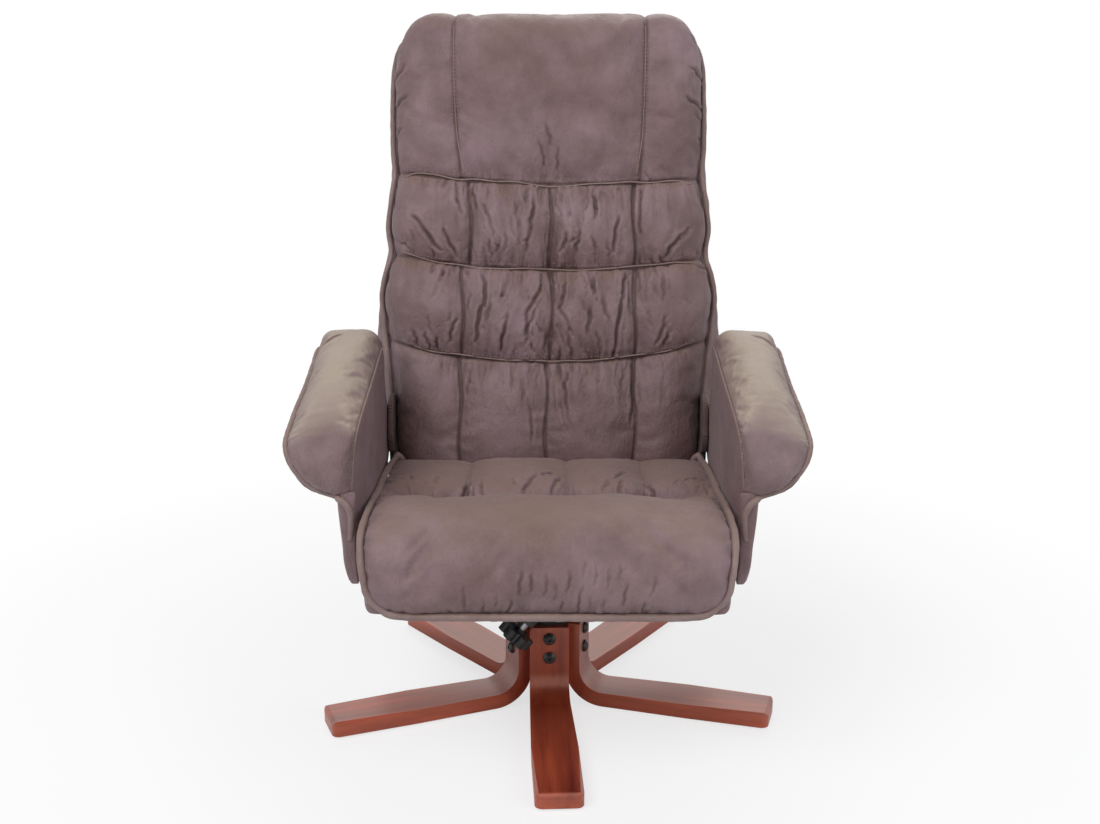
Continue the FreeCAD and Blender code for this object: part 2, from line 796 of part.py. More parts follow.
def build_runners():
    left = runner_offset - runner_width / 2
    right = runner_offset + runner_width / 2
    runner = box(left, right, runner_front, runner_rear, runner_low, seat_bottom_z)
    save_pair("seat_runner", seat_tilt(runner))
    blocks = []
    for middle in (slide_block_front, slide_block_front + slide_block_spacing):
        front = middle - slide_block_length / 2
        rear = middle + slide_block_length / 2
        left = runner_offset - slide_block_width / 2
        right = runner_offset + slide_block_width / 2
        block = seat_tilt(box(left, right, front, rear, block_low, runner_low))
        blocks += [block, mirrored(block)]
    save("slide_blocks", blocks)


def seat_section(y, half, low, top, crown, channel):
    """One closed outline across the level seat: flat base, drawn sides and four crowned columns.

    The sides bulge past their ends by the draw, and the top falls towards the sides.
    """
    base = half - cushion_side_draw
    side_low = V(base, y, seat_bottom_z + low)
    fall = cushion_crown
    side_top = V(base, y, seat_bottom_z + top - fall)
    side_mid = V(half, y, (side_low.z + side_top.z) / 2)
    columns = [base, cushion_column_x, 0, -cushion_column_x, -base]
    points = []
    for x in columns:
        share = abs(x) / base
        drop = fall * share ** 2 + (channel if share < 1 else 0)
        points.append(V(x, y, seat_bottom_z + top - drop))
    edges = [arc(side_low, side_mid, side_top)]
    for first, second in zip(points, points[1:]):
        middle_x = (first.x + second.x) / 2
        level = seat_bottom_z + top - fall * (middle_x / base) ** 2 + crown
        edges.append(arc(first, V(middle_x, y, level), second))
    flip = V(-side_mid.x, y, side_mid.z)
    edges.append(arc(points[-1], flip, V(-base, y, side_low.z)))
    edges.append(line(V(-base, y, side_low.z), side_low))
    return Part.Wire(edges)


def make_seat_cushion():
    """Front roll and tufted rear panel that meet in a sewn seam, over a pocket for the frame."""
    half = cushion_half_width
    bulge = cushion_front_bulge
    crest = cushion_crest
    tuft = cushion_tuft_depth
    seam = seat_section(cushion_seam_y, half - cushion_side_draw, 0, cushion_seam_top, tuft / 2, tuft)
    crest_y = seat_front_y + bulge
    brow_top = crest * cushion_brow_share
    brow = seat_section(seat_front_y, half, 0, brow_top, overrun, 0)
    nose = [
        seat_section(seat_front_y - bulge * out, half * wide, crest * low, crest * high, overrun, 0)
        for out, wide, low, high in nose_shares
    ]
    nose = loft(nose + [brow])
    front = loft([
        brow,
        seat_section(crest_y, half, 0, crest, overrun, 0),
        seat_section((crest_y + cushion_seam_y) / 2, half, 0, brow_top, cushion_crown / 2, 0),
        seam,
    ])
    length = cushion_rear_y - cushion_seam_y
    top = cushion_rear_top
    middle = [
        seat_section(cushion_seam_y + length * share, half, 0, top, cushion_crown, cushion_tuft_depth)
        for share in rear_panel_shares
    ]
    end = seat_section(cushion_rear_y, half - cushion_side_draw, 0, top * rear_end_share, overrun, overrun)
    rear = loft([seam] + middle + [end])
    tail_half = cushion_tail_half_width
    tail_front = cushion_rear_y - overrun
    tail_high = seat_bottom_z + cushion_tail_top
    tail = box(-tail_half, tail_half, tail_front, cushion_tail_y, seat_bottom_z, tail_high)
    pocket_half = seat_frame_half_width + soft_gap
    pocket_front = seat_frame_front - soft_gap
    pocket_high = seat_bottom_z + seat_rail_height + webbing_thickness + soft_gap
    pocket_low = seat_bottom_z - overrun
    pocket = box(-pocket_half, pocket_half, pocket_front, cushion_tail_y + overrun, pocket_low, pocket_high)
    cushion = nose.multiFuse([front, rear, tail])
    return cushion.cut(pocket).removeSplitter()


def build_seat():
    build_seat_frame()
    build_runners()
    save("seat_cushion", seat_tilt(make_seat_cushion()))


# Recline hinge and link

def round_plate(x, thickness, places):
    """A plate of equal thickness that spans round eyes: each place is y, z and radius."""
    plate = None
    for (y0, z0, r0), (y1, z1, r1) in zip(places, places[1:]):
        for y, z, radius in ((y0, z0, r0), (y1, z1, r1)):
            eye = rod(radius, V(x, y, z), V(x + thickness, y, z))
            plate = eye if plate is None else plate.fuse(eye)
        way = V(0, y1 - y0, z1 - z0)
        across = V(0, -way.z, way.y).normalize()
        start = V(x, y0, z0)
        end = V(x, y1, z1)
        corners = [start + across * r0, end + across * r1, end - across * r1, start - across * r0]
        plate = plate.fuse(prism(corners, V(thickness, 0, 0)))
    return plate


pivot_hole_radius = pivot_bolt_radius + running_gap + pivot_bush_wall
link_hole_radius = link_pin_radius + link_pin_play
tube_angle = math.radians(back_lean_degrees)
tube_y = back_foot_y + back_tube_depth * math.cos(tube_angle) + back_cross_heights[0] * math.sin(tube_angle)
tube_z = back_foot_z - back_tube_depth * math.sin(tube_angle) + back_cross_heights[0] * math.cos(tube_angle)


def make_pivot_plate():
    """The back's side plate: it joins the lower cross tube, the hinge and the link hole."""
    margin = pivot_plate_margin
    places = [
        (tube_y, tube_z, back_tube_radius + overrun),
        (pivot_y, pivot_z, margin),
        (link_pin_y, link_pin_z, margin),
        (tube_y, tube_z, back_tube_radius + overrun),
    ]
    plate = round_plate(pivot_plate_x, pivot_plate_thickness, places)
    start = pivot_plate_x - overrun
    end = pivot_plate_x + pivot_plate_thickness + overrun
    holes = [(pivot_y, pivot_z, pivot_bolt_radius + weld_gap), (link_pin_y, link_pin_z, link_hole_radius)]
    for y, z, radius in holes:
        plate = plate.cut(rod(radius, V(start, y, z), V(end, y, z)))
    return plate.removeSplitter()


def make_pivot_bolt():
    """Fixed in the back's plate; it turns in the bush of the arm bracket."""
    bracket_end = bracket_x + arm_bracket_thickness
    place = V(pivot_plate_x, pivot_y, pivot_z)
    head_start = V(bracket_end + slide_gap, pivot_y, pivot_z)
    shank = rod(pivot_bolt_radius, place, head_start)
    head = rod(pivot_head_radius, head_start, head_start + X_AXIS * pivot_head_height)
    return shank.fuse(head).removeSplitter()


def make_pivot_bush():
    """A flanged bush in the bracket; its flange spaces the plate from the bracket."""
    start = pivot_plate_x + pivot_plate_thickness + running_gap
    end = bracket_x + arm_bracket_thickness
    place = V(start, pivot_y, pivot_z)
    body = rod(pivot_bolt_radius + running_gap + pivot_bush_wall, place, V(end, pivot_y, pivot_z))
    flange_end = V(bracket_x, pivot_y, pivot_z)
    flange = rod(pivot_head_radius, place, flange_end)
    bore_end = V(end + overrun, pivot_y, pivot_z)
    bore = rod(pivot_bolt_radius + running_gap, place - X_AXIS * overrun, bore_end)
    return body.fuse(flange).cut(bore).removeSplitter()


def make_link_post():
    """A steel post at each rear corner of the seat frame, with a pin in the back's link hole."""
    x = seat_frame_half_width
    foot = seat_point(seat_frame_rear - link_post_width / 2, seat_bottom_z + seat_rail_height / 2)
    places = [(foot.y, foot.z, seat_rail_height / 2 - overrun), (link_pin_y, link_pin_z, link_post_width / 2)]
    post = round_plate(x, link_post_thickness, places)
    pin_start = V(x, link_pin_y, link_pin_z)
    return post.fuse(rod(link_pin_radius, pin_start, pin_start + X_AXIS * link_pin_length)).removeSplitter()


def build_hinges():
    save_pair("pivot_plate", make_pivot_plate())
    bolt = make_pivot_bolt()
    save("pivot_bolts", [bolt, mirrored(bolt)])
    bush = make_pivot_bush()
    save("pivot_bushes", [bush, mirrored(bush)])
    save_pair("link_post", make_link_post())


# Back

def back_section(height, half, front, fall, crown, channel, xs):
    """One closed outline across the upright back at one height.

    Half is the welt's half width, front the depth of the middle, fall how far the face drops back
    at the sides, and xs the sewn channels between the sides.
    """
    welt = back_welt_depth
    shoulder = half - fall
    side_depth = front + fall
    points = []
    for x in [shoulder] + xs + [-shoulder]:
        share = abs(x) / shoulder
        depth = front + fall * share ** 2 + (channel if share < 1 else 0)
        points.append(V(x, depth, height))
    side_y = (welt + side_depth) / 2 - fall / 4
    side_mid = V(half - fall / 4, side_y, height)
    edges = [arc(V(half, welt, height), side_mid, points[0])]
    for first, second in zip(points, points[1:]):
        middle_x = (first.x + second.x) / 2
        depth = front + fall * (middle_x / shoulder) ** 2 - crown
        edges.append(arc(first, V(middle_x, depth, height), second))
    edges.append(arc(points[-1], V(-side_mid.x, side_y, height), V(-half, welt, height)))
    edges.append(line(V(-half, welt, height), V(half, welt, height)))
    return Part.Wire(edges)


def back_half_widths():
    """Half widths of the welt at the foot, each seam and the middle of each panel."""
    draw = back_seam_draw
    return {
        "foot": back_low_half_width - 2 * draw,
        "panels": [back_low_half_width, back_wide_half_width, back_mid_half_width, back_head_half_width],
        "seams": [back_low_half_width + draw, back_mid_half_width - draw / 2, back_head_half_width - draw / 2],
    }


def make_back_cushion():
    """Four stuffed panels, one above another, each lofted between its two sewn seams."""
    widths = back_half_widths()
    fall = back_welt_depth * back_fall_share
    columns = [back_column_x, 0, -back_column_x]
    head_columns = [back_column_x, -back_column_x]
    bottom = -back_drop
    crown = back_crown
    channel = back_channel_depth
    seams = [
        back_section(height, half, 0, fall, overrun, channel / 2, columns)
        for height, half in zip(back_seam_heights, widths["seams"])
    ]
    low_half = widths["panels"][0]
    low_crown = -crown * back_low_crown_share
    brim = bottom + back_drop * back_drop_share
    low_panel = [
        back_section(back_seam_heights[0] * share, low_half, low_crown, fall, overrun, channel, columns)
        for share in back_low_panel_shares
    ]
    body = loft([
        back_section(bottom, widths["foot"], crown / 2, fall, overrun, overrun, columns),
        back_section(brim, low_half - overrun, -crown / 4, fall, overrun, channel / 2, columns),
    ] + low_panel + [seams[0]])
    for index, (low, high) in enumerate(zip(back_seam_heights, back_seam_heights[1:])):
        half = widths["panels"][index + 1]
        middle = [
            back_section(low + (high - low) * share, half, -crown, fall, overrun, channel, columns)
            for share in back_panel_shares
        ]
        body = body.fuse(loft([seams[index]] + middle + [seams[index + 1]]))
    start = back_seam_heights[-1]
    span = back_top - start
    half = widths["panels"][-1]
    rise = half - back_top_half_width
    head = [back_section(start, widths["seams"][-1], 0, fall, overrun, channel / 2, head_columns)]
    for up, draw, front in headrest_shares:
        height = start + span * up
        head.append(back_section(height, half - rise * draw, crown * front, fall, overrun, overrun, head_columns))
    head = loft(head)
    core = loft([
        shell_section(level, core_half - back_rebate, back_welt_depth - overrun, back_depth, overrun)
        for level, core_half in inner_stations(soft_gap)
    ], ruled=True)
    return body.multiFuse([head, core]).removeSplitter()


def shell_section(height, half, front, rear, corner):
    """A plain outline with two rounded rear corners, for the shell's outside and inside."""
    turn = corner * math.cos(math.radians(45))
    right = V(half - corner + turn, rear - corner + turn, height)
    left = V(-right.x, right.y, height)
    edges = [
        line(V(-half, front, height), V(half, front, height)),
        line(V(half, front, height), V(half, rear - corner, height)),
        arc(V(half, rear - corner, height), right, V(half - corner, rear, height)),
        line(V(half - corner, rear, height), V(corner - half, rear, height)),
        arc(V(corner - half, rear, height), left, V(-half, rear - corner, height)),
        line(V(-half, rear - corner, height), V(-half, front, height)),
    ]
    return Part.Wire(edges)


def shell_stations():
    """Height and half width of the shell, foot to top."""
    low, wide, mid, head = back_half_widths()["panels"]
    first, second, third = back_seam_heights
    rise = head - back_top_half_width
    stations = [(-back_drop, low - back_seam_draw)]
    stations += [(first * share, low) for share in shell_low_shares]
    stations += [((first + second) / 2, wide), ((second + third) / 2, mid), (third, head)]
    for up, draw, _ in headrest_shares[1:]:
        stations.append((third + (back_top - third) * up, head - rise * draw))
    return stations


def inner_stations(gap):
    """The shell's stations, drawn in evenly to lie inside its end walls."""
    inset = shell_wall + gap
    middle = (back_top - back_drop) / 2
    scale = 1 - 2 * inset / (back_top + back_drop)
    return [(middle + (height - middle) * scale, half) for height, half in shell_stations()]


def make_back_shell():
    """The upholstered rear shell: a tray round the tube frame, open to the front."""
    rear = shell_rear_depth
    front = back_welt_depth + soft_gap
    corner = shell_panel
    outer = loft([shell_section(height, half + shell_proud, front, rear, corner) for height, half in shell_stations()],
                 ruled=True)
    inset = back_rebate - soft_gap
    inner_rear = rear - shell_panel
    inner = [
        shell_section(level, half - inset, front - overrun, inner_rear, corner / 2)
        for level, half in inner_stations(0)
    ]
    shell = outer.cut(loft(inner, ruled=True))
    hole_x = back_wide_half_width + shell_proud + overrun
    tube_place = V(-hole_x, back_tube_depth, back_cross_heights[0])
    tube = rod(back_tube_radius + weld_gap, tube_place, tube_place + X_AXIS * (2 * hole_x))
    return shell.cut(tube)


def make_back_frame():
    """Two welded uprights and three cross tubes."""
    depth = back_tube_depth
    radius = back_tube_radius
    reach = pivot_plate_x
    low, middle, top = back_cross_heights
    solids = []
    hollows = []
    inner = radius - back_tube_wall
    for x in (-back_upright_x, back_upright_x):
        solids.append(rod(radius, V(x, depth, low), V(x, depth, top)))
        hollows.append(rod(inner, V(x, depth, low), V(x, depth, top)))
    for height, end in ((low, reach), (middle, back_upright_x), (top, back_upright_x + radius)):
        start = V(-end, depth, height)
        solids.append(rod(radius, start, start + X_AXIS * (2 * end)))
        hollows.append(rod(inner, start - X_AXIS * overrun, start + X_AXIS * (2 * end + 2 * overrun)))
    frame = solids[0].multiFuse(solids[1:])
    return frame.cut(hollows[0].multiFuse(hollows[1:]))


def make_back_webbing():
    """Flat elastic straps in front of the uprights."""
    front = back_tube_depth - back_tube_radius - webbing_thickness
    low = back_cross_heights[0] + back_tube_radius
    pitch = (back_cross_heights[-1] - low) / back_webbing_count
    reach = back_upright_x + back_tube_radius
    straps = []
    for index in range(back_webbing_count):
        start = low + pitch * (index + 0.5) - back_webbing_width / 2
        strap = box(-reach, reach, front, front + webbing_thickness, start, start + back_webbing_width)
        straps.append(back_lean(strap))
    return straps


def build_back():
    save("back_cushion", back_lean(make_back_cushion()))
    save("back_shell", back_lean(make_back_shell()))
    save("back_frame", back_lean(make_back_frame()))
    save("back_webbing", make_back_webbing())


# Arms

wing_length = arm_rear_y - arm_front_y
arm_slope = (wing_bottom_rear - wing_bottom_front) / wing_length
arm_outer_x = board_x + arm_board_thickness + arm_outer_pad_thickness


def wing_bottom(y):
    """Height of the wing's flat underside, which rises towards the back."""
    return wing_bottom_front + (y - arm_front_y) * arm_slope


def wing_section(y, share, size_share):
    """One outline of the wing: share runs from the front station to the rear, size shrinks the ends."""
    height = (wing_height_front + (wing_height_rear - wing_height_front) * share) * size_share
    reach = (wing_reach_front + (wing_reach_rear - wing_reach_front) * share) * size_share
    flat = (arm_outer_x - arm_inner_x) * size_share
    low = wing_bottom(y) + (wing_height_front - height) / 2 * (1 - size_share)
    inner = arm_inner_x + (1 - size_share) * reach / 4
    nose_x = inner + reach
    nose_back = inner + reach * wing_nose_share
    inner_low = V(inner, y, low)
    flat_end = V(inner + flat, y, low)
    inner_high = V(inner, y, low + height * wing_inner_high_share)
    crest = V(inner + reach * wing_crest_share, y, low + height)
    nose_high = V(nose_back, y, low + height * wing_nose_high_share)
    nose = V(nose_x, y, low + height * wing_nose_mid_share)
    nose_low = V(nose_back, y, low + height * wing_nose_low_share)
    belly = V(inner + reach * wing_belly_share, y, low + height * wing_belly_low_share)
    edges = [
        line(flat_end, inner_low),
        line(inner_low, inner_high),
        arc(inner_high, crest, nose_high),
        arc(nose_high, nose, nose_low),
        arc(nose_low, belly, flat_end),
    ]
    return Part.Wire(edges)


def make_wing():
    """The padded arm top: it overhangs outwards and is rounded off at both ends."""
    front = arm_front_y
    end = wing_end_length
    full_front = wing_section(front, 0, 1)
    full_rear = wing_section(arm_rear_y - end / 2, 1, 1)
    rear = arm_rear_y - end / 2
    nose = loft([wing_section(front - end * out, 0, size) for out, size in wing_front_shares] + [full_front])
    tail = loft([full_rear] + [wing_section(rear + end / 2 * out, 1, size) for out, size in wing_rear_shares])
    return nose.multiFuse([loft([full_front, full_rear], ruled=True), tail]).removeSplitter()


def arm_bottom(y, front_height):
    """Height of an arm panel's lower edge, which falls towards the back as the seat does."""
    return front_height - (y - arm_front_y) * math.tan(math.radians(seat_slope_degrees))


def arm_slab(x, thickness, bottom, front_inset):
    """A flat piece of the arm that reaches up to the wing's sloping underside."""
    front = arm_front_y + front_inset
    points = [
        V(x, front, arm_bottom(front, bottom)),
        V(x, arm_rear_y, arm_bottom(arm_rear_y, bottom)),
        V(x, arm_rear_y, wing_bottom(arm_rear_y) - soft_gap),
        V(x, front, wing_bottom(front) - soft_gap),
    ]
    return prism(points, V(thickness, 0, 0))


def arm_bolt_places():
    """Three bolts in a row through the bracket into the board."""
    level = arm_board_bottom + pivot_plate_margin / 2
    front = arm_bracket_front + pivot_plate_margin
    pitch = (rear_beam_y - pivot_plate_margin - front) / 2
    return [(front + pitch * index, level) for index in range(3)]


def make_arm_bracket():
    """A steel side plate from both beams up to the arm board and back to the recline hinge."""
    x = bracket_x
    margin = pivot_plate_margin
    points = [
        V(x, front_beam_y - overrun, front_beam_low - overrun),
        V(x, rear_beam_y + beam_depth + overrun, plate_high),
        V(x, pivot_y + margin, pivot_z - 2 * margin),
        V(x, pivot_y + margin, pivot_z),
        V(x, pivot_y - margin, pivot_z),
        V(x, arm_rear_y + overrun, arm_bracket_top),
        V(x, arm_bracket_front, arm_bracket_top),
        V(x, arm_bracket_front, arm_board_bottom - margin),
    ]
    thickness = arm_bracket_thickness
    plate = prism(points, V(thickness, 0, 0))
    plate = plate.fuse(rod(margin, V(x, pivot_y, pivot_z), V(x + thickness, pivot_y, pivot_z)))
    start = x - overrun
    end = x + thickness + overrun
    plate = plate.cut(rod(pivot_hole_radius + weld_gap, V(start, pivot_y, pivot_z), V(end, pivot_y, pivot_z)))
    for y, z in arm_bolt_places():
        plate = plate.cut(rod(arm_bolt_radius + bolt_hole_gap, V(start, y, z), V(end, y, z)))
    return plate.removeSplitter()


def make_arm_bolts():
    bolts = []
    for y, z in arm_bolt_places():
        start = V(bracket_x, y, z)
        head = rod(arm_bolt_head_radius, start - X_AXIS * arm_bolt_head_height, start)
        shank = rod(arm_bolt_radius, start, start + X_AXIS * (arm_bracket_thickness + arm_bolt_grip))
        bolts.append(head.fuse(shank).removeSplitter())
    return bolts


def build_arms():
    board = arm_slab(board_x, arm_board_thickness, arm_board_bottom, soft_gap)
    for y, z in arm_bolt_places():
        end = board_x + arm_bolt_grip + overrun
        board = board.cut(rod(arm_bolt_radius + weld_gap, V(board_x - overrun, y, z), V(end, y, z)))
    save_pair("arm_board", board)
    save_pair("arm_inner_pad", arm_slab(arm_inner_x, arm_pad_thickness, arm_pad_bottom, 0))
    outer_x = board_x + arm_board_thickness
    outer = arm_slab(outer_x, arm_outer_pad_thickness, arm_board_bottom, 0)
    rims = []
    for edge in outer.Edges:
        bounds = edge.BoundBox
        if bounds.XMin > outer_x + weld_gap and bounds.ZMin < wing_bottom_front - overrun:
            rims.append(edge)
    save_pair("arm_outer_pad", outer.makeFillet(arm_edge_round, rims))
    save_pair("arm_wing", make_wing())
    save_pair("arm_bracket", make_arm_bracket())
    bolts = make_arm_bolts()
    save("arm_bolts", bolts + [mirrored(bolt) for bolt in bolts])


build_legs()
build_hub()
build_spindle()
build_carriage()
build_clamp()
build_seat()
build_hinges()
build_back()
build_arms()
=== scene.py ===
"""Dresses the swivel recliner: upholstery, piping, stitching, lacquered legs and black steel.

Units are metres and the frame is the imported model's. Control points are in millimetres. The back is drawn
upright and leaned, the seat drawn level and tilted, as the frame was made. +X is the sitter's left.
"""

import json
import logging
import math
from collections.abc import Callable, Sequence
from dataclasses import dataclass
from enum import Enum

import bmesh
import bpy
import numpy as np
from mathutils import Matrix, Vector
from mathutils.bvhtree import BVHTree


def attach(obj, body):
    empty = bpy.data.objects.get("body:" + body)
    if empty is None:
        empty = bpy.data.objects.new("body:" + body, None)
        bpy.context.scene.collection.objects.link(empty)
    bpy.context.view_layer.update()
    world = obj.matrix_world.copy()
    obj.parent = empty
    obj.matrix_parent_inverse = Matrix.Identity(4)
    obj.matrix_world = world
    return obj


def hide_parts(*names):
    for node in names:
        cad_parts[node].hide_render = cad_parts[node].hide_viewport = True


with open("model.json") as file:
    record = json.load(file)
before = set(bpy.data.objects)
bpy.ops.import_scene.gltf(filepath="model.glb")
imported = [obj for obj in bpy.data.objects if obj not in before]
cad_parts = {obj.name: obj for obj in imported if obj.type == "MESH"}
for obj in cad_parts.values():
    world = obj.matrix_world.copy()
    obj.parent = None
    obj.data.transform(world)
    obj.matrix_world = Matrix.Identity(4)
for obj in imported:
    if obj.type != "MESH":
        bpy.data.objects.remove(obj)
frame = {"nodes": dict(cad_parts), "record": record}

LOG = logging.getLogger("recliner")
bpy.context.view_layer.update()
MM = 0.001
# Height from a fold in full painted shade to a ridge in full painted highlight, in millimetres
RELIEF_LIGHT_SPAN = 8.5
# A seam holds a stuffed cover only where it binds at least this firmly, from 0 to 1
LEAST_HOLD = 0.35
SCREEN_GAMMA = 2.2
WHITE = (1, 1, 1, 1)

Point = tuple[float, float, float]
Row = tuple[float, ...]
Fold = tuple[float, float, float, float, float]
Relief = Callable[["Surface"], np.ndarray]
RingStep = Callable[[np.ndarray], np.ndarray]
Socket = bpy.types.NodeSocket


# Shapes shared by the sub-assemblies


def hermite(keys: Sequence[Sequence[float]], place: np.ndarray) -> np.ndarray:
    """Runs a smooth curve through control rows.

    Args:
        keys: Control rows, one for each whole number of place.
        place: Where to read the curve, from 0 to the number of rows less one.

    Returns:
        One row of coordinates for each place.
    """
    rows = np.asarray(keys, float)
    first = np.clip(np.floor(place).astype(int), 0, len(rows) - 2)
    t = (place - first)[:, None]
    before = rows[np.maximum(first - 1, 0)]
    start = rows[first]
    end = rows[first + 1]
    after = rows[np.minimum(first + 2, len(rows) - 1)]
    lead = (end - before) / 2
    trail = (after - start) / 2
    return (
        start * (2 * t**3 - 3 * t**2 + 1)
        + lead * (t**3 - 2 * t**2 + t)
        + end * (3 * t**2 - 2 * t**3)
        + trail * (t**3 - t**2)
    )


def lattice_noise(x: np.ndarray, y: np.ndarray, seed: int) -> np.ndarray:
    """Smooth noise from -1 to 1 over a plane, the same on every run.

    Args:
        x: Places across, one lattice cell a unit.
        y: Places along.
        seed: Chooses the lattice.

    Returns:
        The noise at each place.
    """
    size = 97
    lattice = np.random.default_rng(seed).uniform(-1, 1, (size, size))
    x0 = np.floor(x).astype(int)
    y0 = np.floor(y).astype(int)
    u = x - x0
    v = y - y0
    u = u * u * (3 - 2 * u)
    v = v * v * (3 - 2 * v)
    corner = [lattice[(x0 + i) % size, (y0 + j) % size] for i in (0, 1) for j in (0, 1)]
    low = corner[0] * (1 - v) + corner[1] * v
    high = corner[2] * (1 - v) + corner[3] * v
    return low * (1 - u) + high * u


def ramp(value: np.ndarray, start: float, end: float) -> np.ndarray:
    """A smooth step that is 0 at start and 1 at end."""
    t = np.clip((value - start) / (end - start), 0, 1)
    return t * t * (3 - 2 * t)


def bell(distance: np.ndarray, width: float) -> np.ndarray:
    """A rounded ridge of height 1 and about twice that width."""
    return np.exp(-((distance / width) ** 2))


def dome(share: np.ndarray, fullness: float) -> np.ndarray:
    """A pillow's section between two seams: 0 at both, 1 in the middle; a low fullness is a fuller pillow."""
    return np.sin(np.pi * np.clip(share, 0, 1)) ** fullness


def tucked(noise: np.ndarray, ridge: float, groove: float) -> np.ndarray:
    """Gathered cloth: soft ridges of that height, with sharp grooves of that depth between them."""
    return ridge * noise - groove * bell(noise - 0.1, 0.16)


def beside_welt(edge: np.ndarray, start: float, reach: float) -> np.ndarray:
    """0 on a welt, 1 from start away from it, and then fading over reach, in millimetres."""
    return np.exp(-np.maximum(edge - start, 0) / reach) * ramp(edge, 0, start + 2)


def folds(x: np.ndarray, y: np.ndarray, table: Sequence[Fold], width: float) -> np.ndarray:
    """Creases with raised lips, each from one point to another.

    Args:
        x: Places across, in millimetres.
        y: Places along, in millimetres.
        table: Rows of start x, start y, end x, end y and depth, in millimetres.
        width: Half width of a crease.

    Returns:
        The height to add, in millimetres.
    """
    height = np.zeros_like(x)
    for x0, y0, x1, y1, depth in table:
        dx, dy = x1 - x0, y1 - y0
        length = math.hypot(dx, dy)
        share = ((x - x0) * dx + (y - y0) * dy) / length**2
        bend = width * (np.sin(share * 5 + x0) + 0.6 * np.sin(share * 13 + y0))
        side = ((x - x0) * dy - (y - y0) * dx) / length + bend * 0.5
        over = np.abs(np.clip(share, 0, 1) - share) * length
        fade = bell(over, 2 * width) * (0.35 + 0.65 * dome(0.08 + share * 0.84, 0.5))
        lips = 0.45 * bell(np.abs(side) - 2.3 * width, 1.3 * width)
        groove = 0.6 * bell(side, 0.85 * width)
        height += depth * fade * (lips - groove - 0.3 * bell(side, 2.6 * width))
    return height


@dataclass
class Surface:
    """Places on a panel: the shares across and along it, and the points, in millimetres."""

    across: np.ndarray
    along: np.ndarray
    points: np.ndarray

    @property
    def x(self) -> np.ndarray:
        """Places across the chair."""
        return self.points[:, 0]

    @property
    def y(self) -> np.ndarray:
        """Places from front to rear."""
        return self.points[:, 1]

    @property
    def z(self) -> np.ndarray:
        """Heights."""
        return self.points[:, 2]

    @property
    def inward(self) -> np.ndarray:
        """How far each place is from the nearer side edge, as a share of the width."""
        return np.minimum(self.across, 1 - self.across)

    def clear_of_sides(self, reach: float) -> np.ndarray:
        """0 on the side edges and 1 from that share of the width inwards."""
        return ramp(self.inward, 0, reach)


@dataclass
class Panel:
    """A padded panel stretched between two sewn edges over a crowned middle line.

    The three lines have as many control points as each other, and a row of the panel joins them.
    """

    left: Sequence[Point]
    middle: Sequence[Point]
    right: Sequence[Point]
    columns: int
    rows: int
    left_turn: float = 0.16
    right_turn: float = 0.16
    fall: float = 0.05
    turn_stretch: float = 1.45

    def place(self, along: np.ndarray) -> np.ndarray:
        """Turns shares of the middle line's length into control row numbers.

        Args:
            along: Shares of the length, from the first row.

        Returns:
            The row numbers, with fractions.
        """
        dense = np.linspace(0, len(self.middle) - 1, 400)
        steps = np.linalg.norm(np.diff(hermite(self.middle, dense), axis=0), axis=1)
        length = np.concatenate([[0], np.cumsum(steps)])
        return np.interp(along * length[-1], length, dense)

    def points(self, across: np.ndarray, along: np.ndarray) -> np.ndarray:
        """Finds points of the panel before any relief.

        Args:
            across: Shares from the left edge, 0, to the right one, 1.
            along: Shares from the first control row to the last.

        Returns:
            The points, in millimetres.
        """
        row = self.place(along)
        left, middle, right = (hermite(line, row) for line in (self.left, self.middle, self.right))
        crown = middle - (left + right) / 2
        start = self.left_turn * self.turn_stretch
        end = 1 - self.right_turn * self.turn_stretch
        flat = (across - start) / (end - start)
        chord = self.left_turn + flat * (1 - self.left_turn - self.right_turn)
        rise = np.ones_like(chord)
        if self.left_turn:
            angle = np.clip(1 - across / start, 0, 1) * math.pi / 2
            chord = np.where(across < start, self.left_turn * (1 - np.sin(angle)), chord)
            rise *= np.where(across < start, np.cos(angle), 1)
        if self.right_turn:
            angle = np.clip((across - end) / (1 - end), 0, 1) * math.pi / 2
            chord = np.where(across > end, 1 - self.right_turn * (1 - np.sin(angle)), chord)
            rise *= np.where(across > end, np.cos(angle), 1)
        rise *= 1 - self.fall * (2 * chord - 1) ** 2
        return left + (right - left) * chord[:, None] + crown * rise[:, None]

    def normals(self, across: np.ndarray, along: np.ndarray) -> np.ndarray:
        """Unit vectors that point out of the panel's padded side.

        Args:
            across: Shares from the left edge to the right one.
            along: Shares from the first control row to the last.

        Returns:
            One vector for each place.
        """
        step = 2e-3
        low_across, high_across = np.clip(across - step, 0, 1), np.clip(across + step, 0, 1)
        low_along, high_along = np.clip(along - step, 0, 1), np.clip(along + step, 0, 1)
        sideways = self.points(high_across, along) - self.points(low_across, along)
        lengthways = self.points(across, high_along) - self.points(across, low_along)
        normal = np.cross(sideways, lengthways)
        return normal / np.maximum(np.linalg.norm(normal, axis=1), 1e-9)[:, None]

    def surface(self, across: np.ndarray, along: np.ndarray) -> Surface:
        """The plain panel at those shares."""
        return Surface(across, along, self.points(across, along))


# Making meshes


